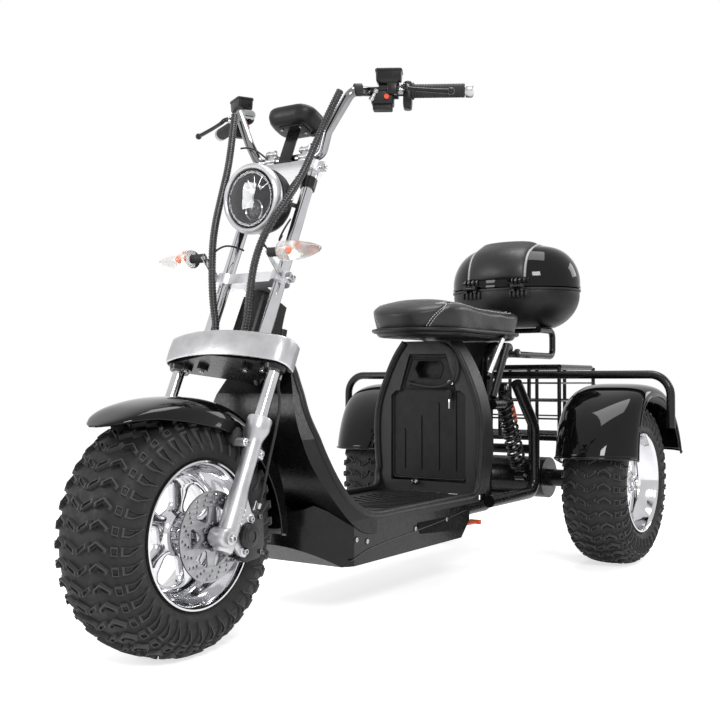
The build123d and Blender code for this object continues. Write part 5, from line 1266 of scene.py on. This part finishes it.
# -------- rear: stays, springs and rods of the basket
stays = Parts()
for side in SIDES:
    a, b = at(side * 130, 1226, 664), at(side * 132, 1122, 550)
    stays.put(tube([a, b], 7.0, 24))
    for end, other in ((a, b), (b, a)):
        inward = (other - end).normalized()
        stays.put(post([(9, -4), (9, 8)]), aim(end, inward), 1)
build("seat_stays", stays, "frame", [CAST, COAT_BLACK])
COIL_STEPS, COIL_RADIUS = 22, 22
coils = Parts()
for side in SIDES:
    start, end = at(side * 118, 1236, 516), at(side * 118, 1366, 252)
    run = end - start
    axis = run.normalized()
    x_axis = Vector((1, 0, 0))
    y_axis = axis.cross(x_axis).normalized()
    turns, reach = 11.5, run.length - 76
    helix = []
    for k in range(int(turns * COIL_STEPS) + 1):
        t = 2 * pi * k / COIL_STEPS
        rise = start + axis * (38 + reach * k / (turns * COIL_STEPS))
        helix.append(rise + (x_axis * cos(t) + y_axis * sin(t)) * COIL_RADIUS)
    coils.put(tube(helix, 4.4, 10), paint=1)
    coils.put(post([(13, 38), (24, 38.5), (24, 43), (13, 44)], 32), aim(start, axis))
    coils.put(post([(14, -26), (15, -25), (15, 26), (14, 27)], 28),
              aim(start + Vector((side * 4, 32, -34)), axis), 2)
    coils.put(block(5, 17, 44, 3, 1), aim(start + Vector((side * 21, 34, -56)), axis))
    coils.put(post([(13, 22), (17, 30), (25, 33), (25, 37), (13, 38)], 32), aim(start, axis), 1)
    coils.put(post([(13, 8), (25, 9), (25, 13), (15, 16)], 32), aim(end - axis * 48, axis), 1)
    coils.put(post([(9, 20), (13.5, 24), (13.5, 150), (9, 154)], 28), aim(start, axis), 2)
    coils.put(post([(5, 100), (7, 100), (7, 250), (5, 250)]), aim(start, axis), 3)
    for eye in (start, end):
        coils.put(hoop([(-15, 5), (-15, 14), (15, 14), (15, 5)], 32), spot(*eye), 1)
        coils.put(bolt(7, 5), aim(eye + Vector((side * 15, 0, 0)), (side, 0, 0), (0, 1, 0)), 3)
build("shock_springs", coils, "frame", [STAND_RED, COAT_BLACK, SOFT_BLACK, STEEL], "shocks", sharp=40)
ROD_X, ROD_FRONT, ROD_BACK, ROD_FLOOR = 200, 1470, 1756, 366
rods = []
for k in range(11):
    x = -180 + 36 * k
    rods.append((at(x, ROD_FRONT, ROD_FLOOR), at(x, ROD_BACK, ROD_FLOOR), 2.6))
for k in range(7):
    y = 1500 + 38 * k
    rods.append((at(-ROD_X, y, ROD_FLOOR + 3), at(ROD_X, y, ROD_FLOOR + 3), 2.6))
rails = (420, 475, 530)
rods += [(at(-ROD_X, y, z), at(ROD_X, y, z), 2.8) for y in (ROD_FRONT, ROD_BACK) for z in rails]
rods += [(at(x, ROD_FRONT, z), at(x, ROD_BACK, z), 2.8) for x in (-ROD_X, ROD_X) for z in rails]
mesh_rods = [(tube([start, end], radius, 10), 0) for start, end, radius in rods]
build("basket_rods", mesh_rods, "frame", COAT_BLACK)

knobs = Parts()
for place, heading in ((at(96, 1300, 612), (0.6, -0.8, 0)), (at(150, 1262, 618), (1, 0, 0))):
    knob = aim(place, heading, (0, 0, 1))
    knobs.put(post([(6, -22), (6, 0), (11, 1), (12, 4), (12, 12), (9, 14)], 28), knob)
    knobs.put(post([(4.5, 14), (4.5, 15.4), (3.6, 16)], 20), knob, 1)
build("seat_locks", knobs, "frame", [SOFT_BLACK, STEEL])

# -------- rear fenders
ARC_STEPS, ACROSS_STEPS = 72, 48
shells, brims = Parts(), Parts()
for side in SIDES:
    grid = []
    for i in range(ARC_STEPS + 1):
        phi = radians(17 + 146 * i / ARC_STEPS)
        row = []
        for j in range(ACROSS_STEPS + 1):
            v = sin(pi / 2 * (2 * j / ACROSS_STEPS - 1))
            drop = 1 - max(0.0, 1 - abs(v) ** 3.2) ** (1 / 3.2)
            r = 289 - (92 if v < 0 else 34) * drop
            bow = (80 if v < 0 else 92) * abs(v) ** 2.6 * max(0.0, cos(phi)) ** 2.5
            row.append((side * (376 + 123 * v), REAR_Y - r * cos(phi) + bow, AXLE_Z + r * sin(phi)))
        grid.append(row)
    shells.put(skin(grid, closed=False, caps=False))
    for line in ([row[-1] for row in grid], grid[0], grid[-1]):
        line = [Vector(p) for p in line]
        line = [Vector((p.x - side * 1.5, p.y, p.z)) if p.x * side > 490 else p for p in line]
        brims.put(tube(evenly(line, 7), 3.6, 12))
build("rear_fender_shells", shells, "frame", GLOSS, "rear_fenders", solidify=3, sharp=60)
build("rear_fender_brims", brims, "frame", GLOSS)

# -------- CAD nodes that keep their shape
carried(SHIELD_BLACK, "leg_shield")
carried(GLOSS, "case_lid")
carried(SATIN, "footboard", "tower", "case_base", "seat_box")
carried(PANEL, "belly_pan")
carried(BATTERY, "battery")
carried(COAT_BLACK, "main_frame", "rear_carriage", "axle_housing", "guard_rail", "basket", "rack",
        "lower_yoke")
carried(CAST, "mid_clamp", "top_clamp")
carried(CHROME, "stanchions", "upper_tubes")
carried(DARK_CHROME, "handlebar")
carried(STAND_RED, "side_stand")
carried(STEEL, "front_axle")

# -------- floor, light and camera
def seen(tree):
    """1 for what the camera sees, straight, mirrored or through glass, else 0."""
    path = linked(tree, "ShaderNodeLightPath")
    made = path.outputs["Is Camera Ray"]
    for ray in ("Is Glossy Ray", "Is Transmission Ray"):
        made = linked(tree, "ShaderNodeMath", {0: made, 1: path.outputs[ray]}, operation="MAXIMUM").outputs[0]
    return made


def studio():
    """A white floor and surround, three soft panels and the camera."""
    size = 14.0
    mesh = bpy.data.meshes.new("floor")
    mesh.from_pydata([(-size, -size, 0), (size, -size, 0), (size, size, 0), (-size, size, 0)], [],
                     [(0, 1, 2, 3)])
    floor = bpy.data.objects.new("floor", mesh)
    bpy.context.scene.collection.objects.link(floor)
    made = bpy.data.materials.new("floor_white")
    made.use_nodes = True
    tree = made.node_tree
    tree.nodes.remove(tree.nodes["Principled BSDF"])
    diffuse = linked(tree, "ShaderNodeBsdfDiffuse", {"Color": (0.8, 0.8, 0.8, 1)})
    glow = linked(tree, "ShaderNodeEmission", {"Color": (1, 1, 1, 1), "Strength": 0.68})
    both = linked(tree, "ShaderNodeAddShader", {0: diffuse.outputs[0], 1: glow.outputs[0]})
    mix = linked(tree, "ShaderNodeMixShader", {0: seen(tree), 1: diffuse.outputs[0], 2: both.outputs[0]})
    tree.links.new(mix.outputs[0], tree.nodes["Material Output"].inputs["Surface"])
    mesh.materials.append(made)
    floor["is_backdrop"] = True

    world = bpy.data.worlds.new("surround")
    bpy.context.scene.world = world
    world.use_nodes = True
    tree = world.node_tree
    ambient = tree.nodes["Background"]
    ambient.inputs["Color"].default_value = (1, 1, 1, 1)
    ambient.inputs["Strength"].default_value = 0.42
    backdrop = linked(tree, "ShaderNodeBackground", {"Color": (1, 1, 1, 1), "Strength": 1.0})
    mix = linked(tree, "ShaderNodeMixShader", {0: seen(tree), 1: ambient.outputs[0], 2: backdrop.outputs[0]})
    tree.links.new(mix.outputs[0], tree.nodes["World Output"].inputs["Surface"])

    for name, place, target, width, height, power in (
            ("key", (3.2, -3.4, 3.0), (0, -0.1, 0.5), 1.3, 1.0, 120),
            ("fill", (-2.6, -3.6, 1.8), (0, -0.1, 0.5), 1.2, 1.6, 60),
            ("top", (0.4, 0.3, 3.6), (0, 0, 0.4), 1.8, 1.8, 70),
            ("back", (2.2, 3.4, 2.2), (0, 0.3, 0.5), 1.6, 1.2, 32)):
        light = bpy.data.lights.new(name, "AREA")
        light.shape, light.size, light.size_y, light.energy = "RECTANGLE", width, height, power
        lamp = bpy.data.objects.new(name, light)
        lamp.location = place
        lamp.rotation_euler = (Vector(target) - Vector(place)).to_track_quat("-Z", "Y").to_euler()
        bpy.context.scene.collection.objects.link(lamp)

    # the camera solved from points of the photo
    camera = bpy.data.cameras.new("camera")
    camera.sensor_width = 36.0
    camera.lens = 50.81
    camera.clip_end = 60.0
    eye = bpy.data.objects.new("camera", camera)
    turn, pitch = radians(33.7), radians(1.21)
    look = Vector((-sin(turn) * cos(pitch), cos(turn) * cos(pitch), sin(pitch)))
    eye.location = (1.420, -1.459 + FRONT_Y * MM, 0.535)
    eye.rotation_euler = look.to_track_quat("-Z", "Y").to_euler()
    bpy.context.scene.collection.objects.link(eye)
    bpy.context.scene.camera = eye
    bpy.context.scene.view_settings.view_transform = "Standard"


studio()
low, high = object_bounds()
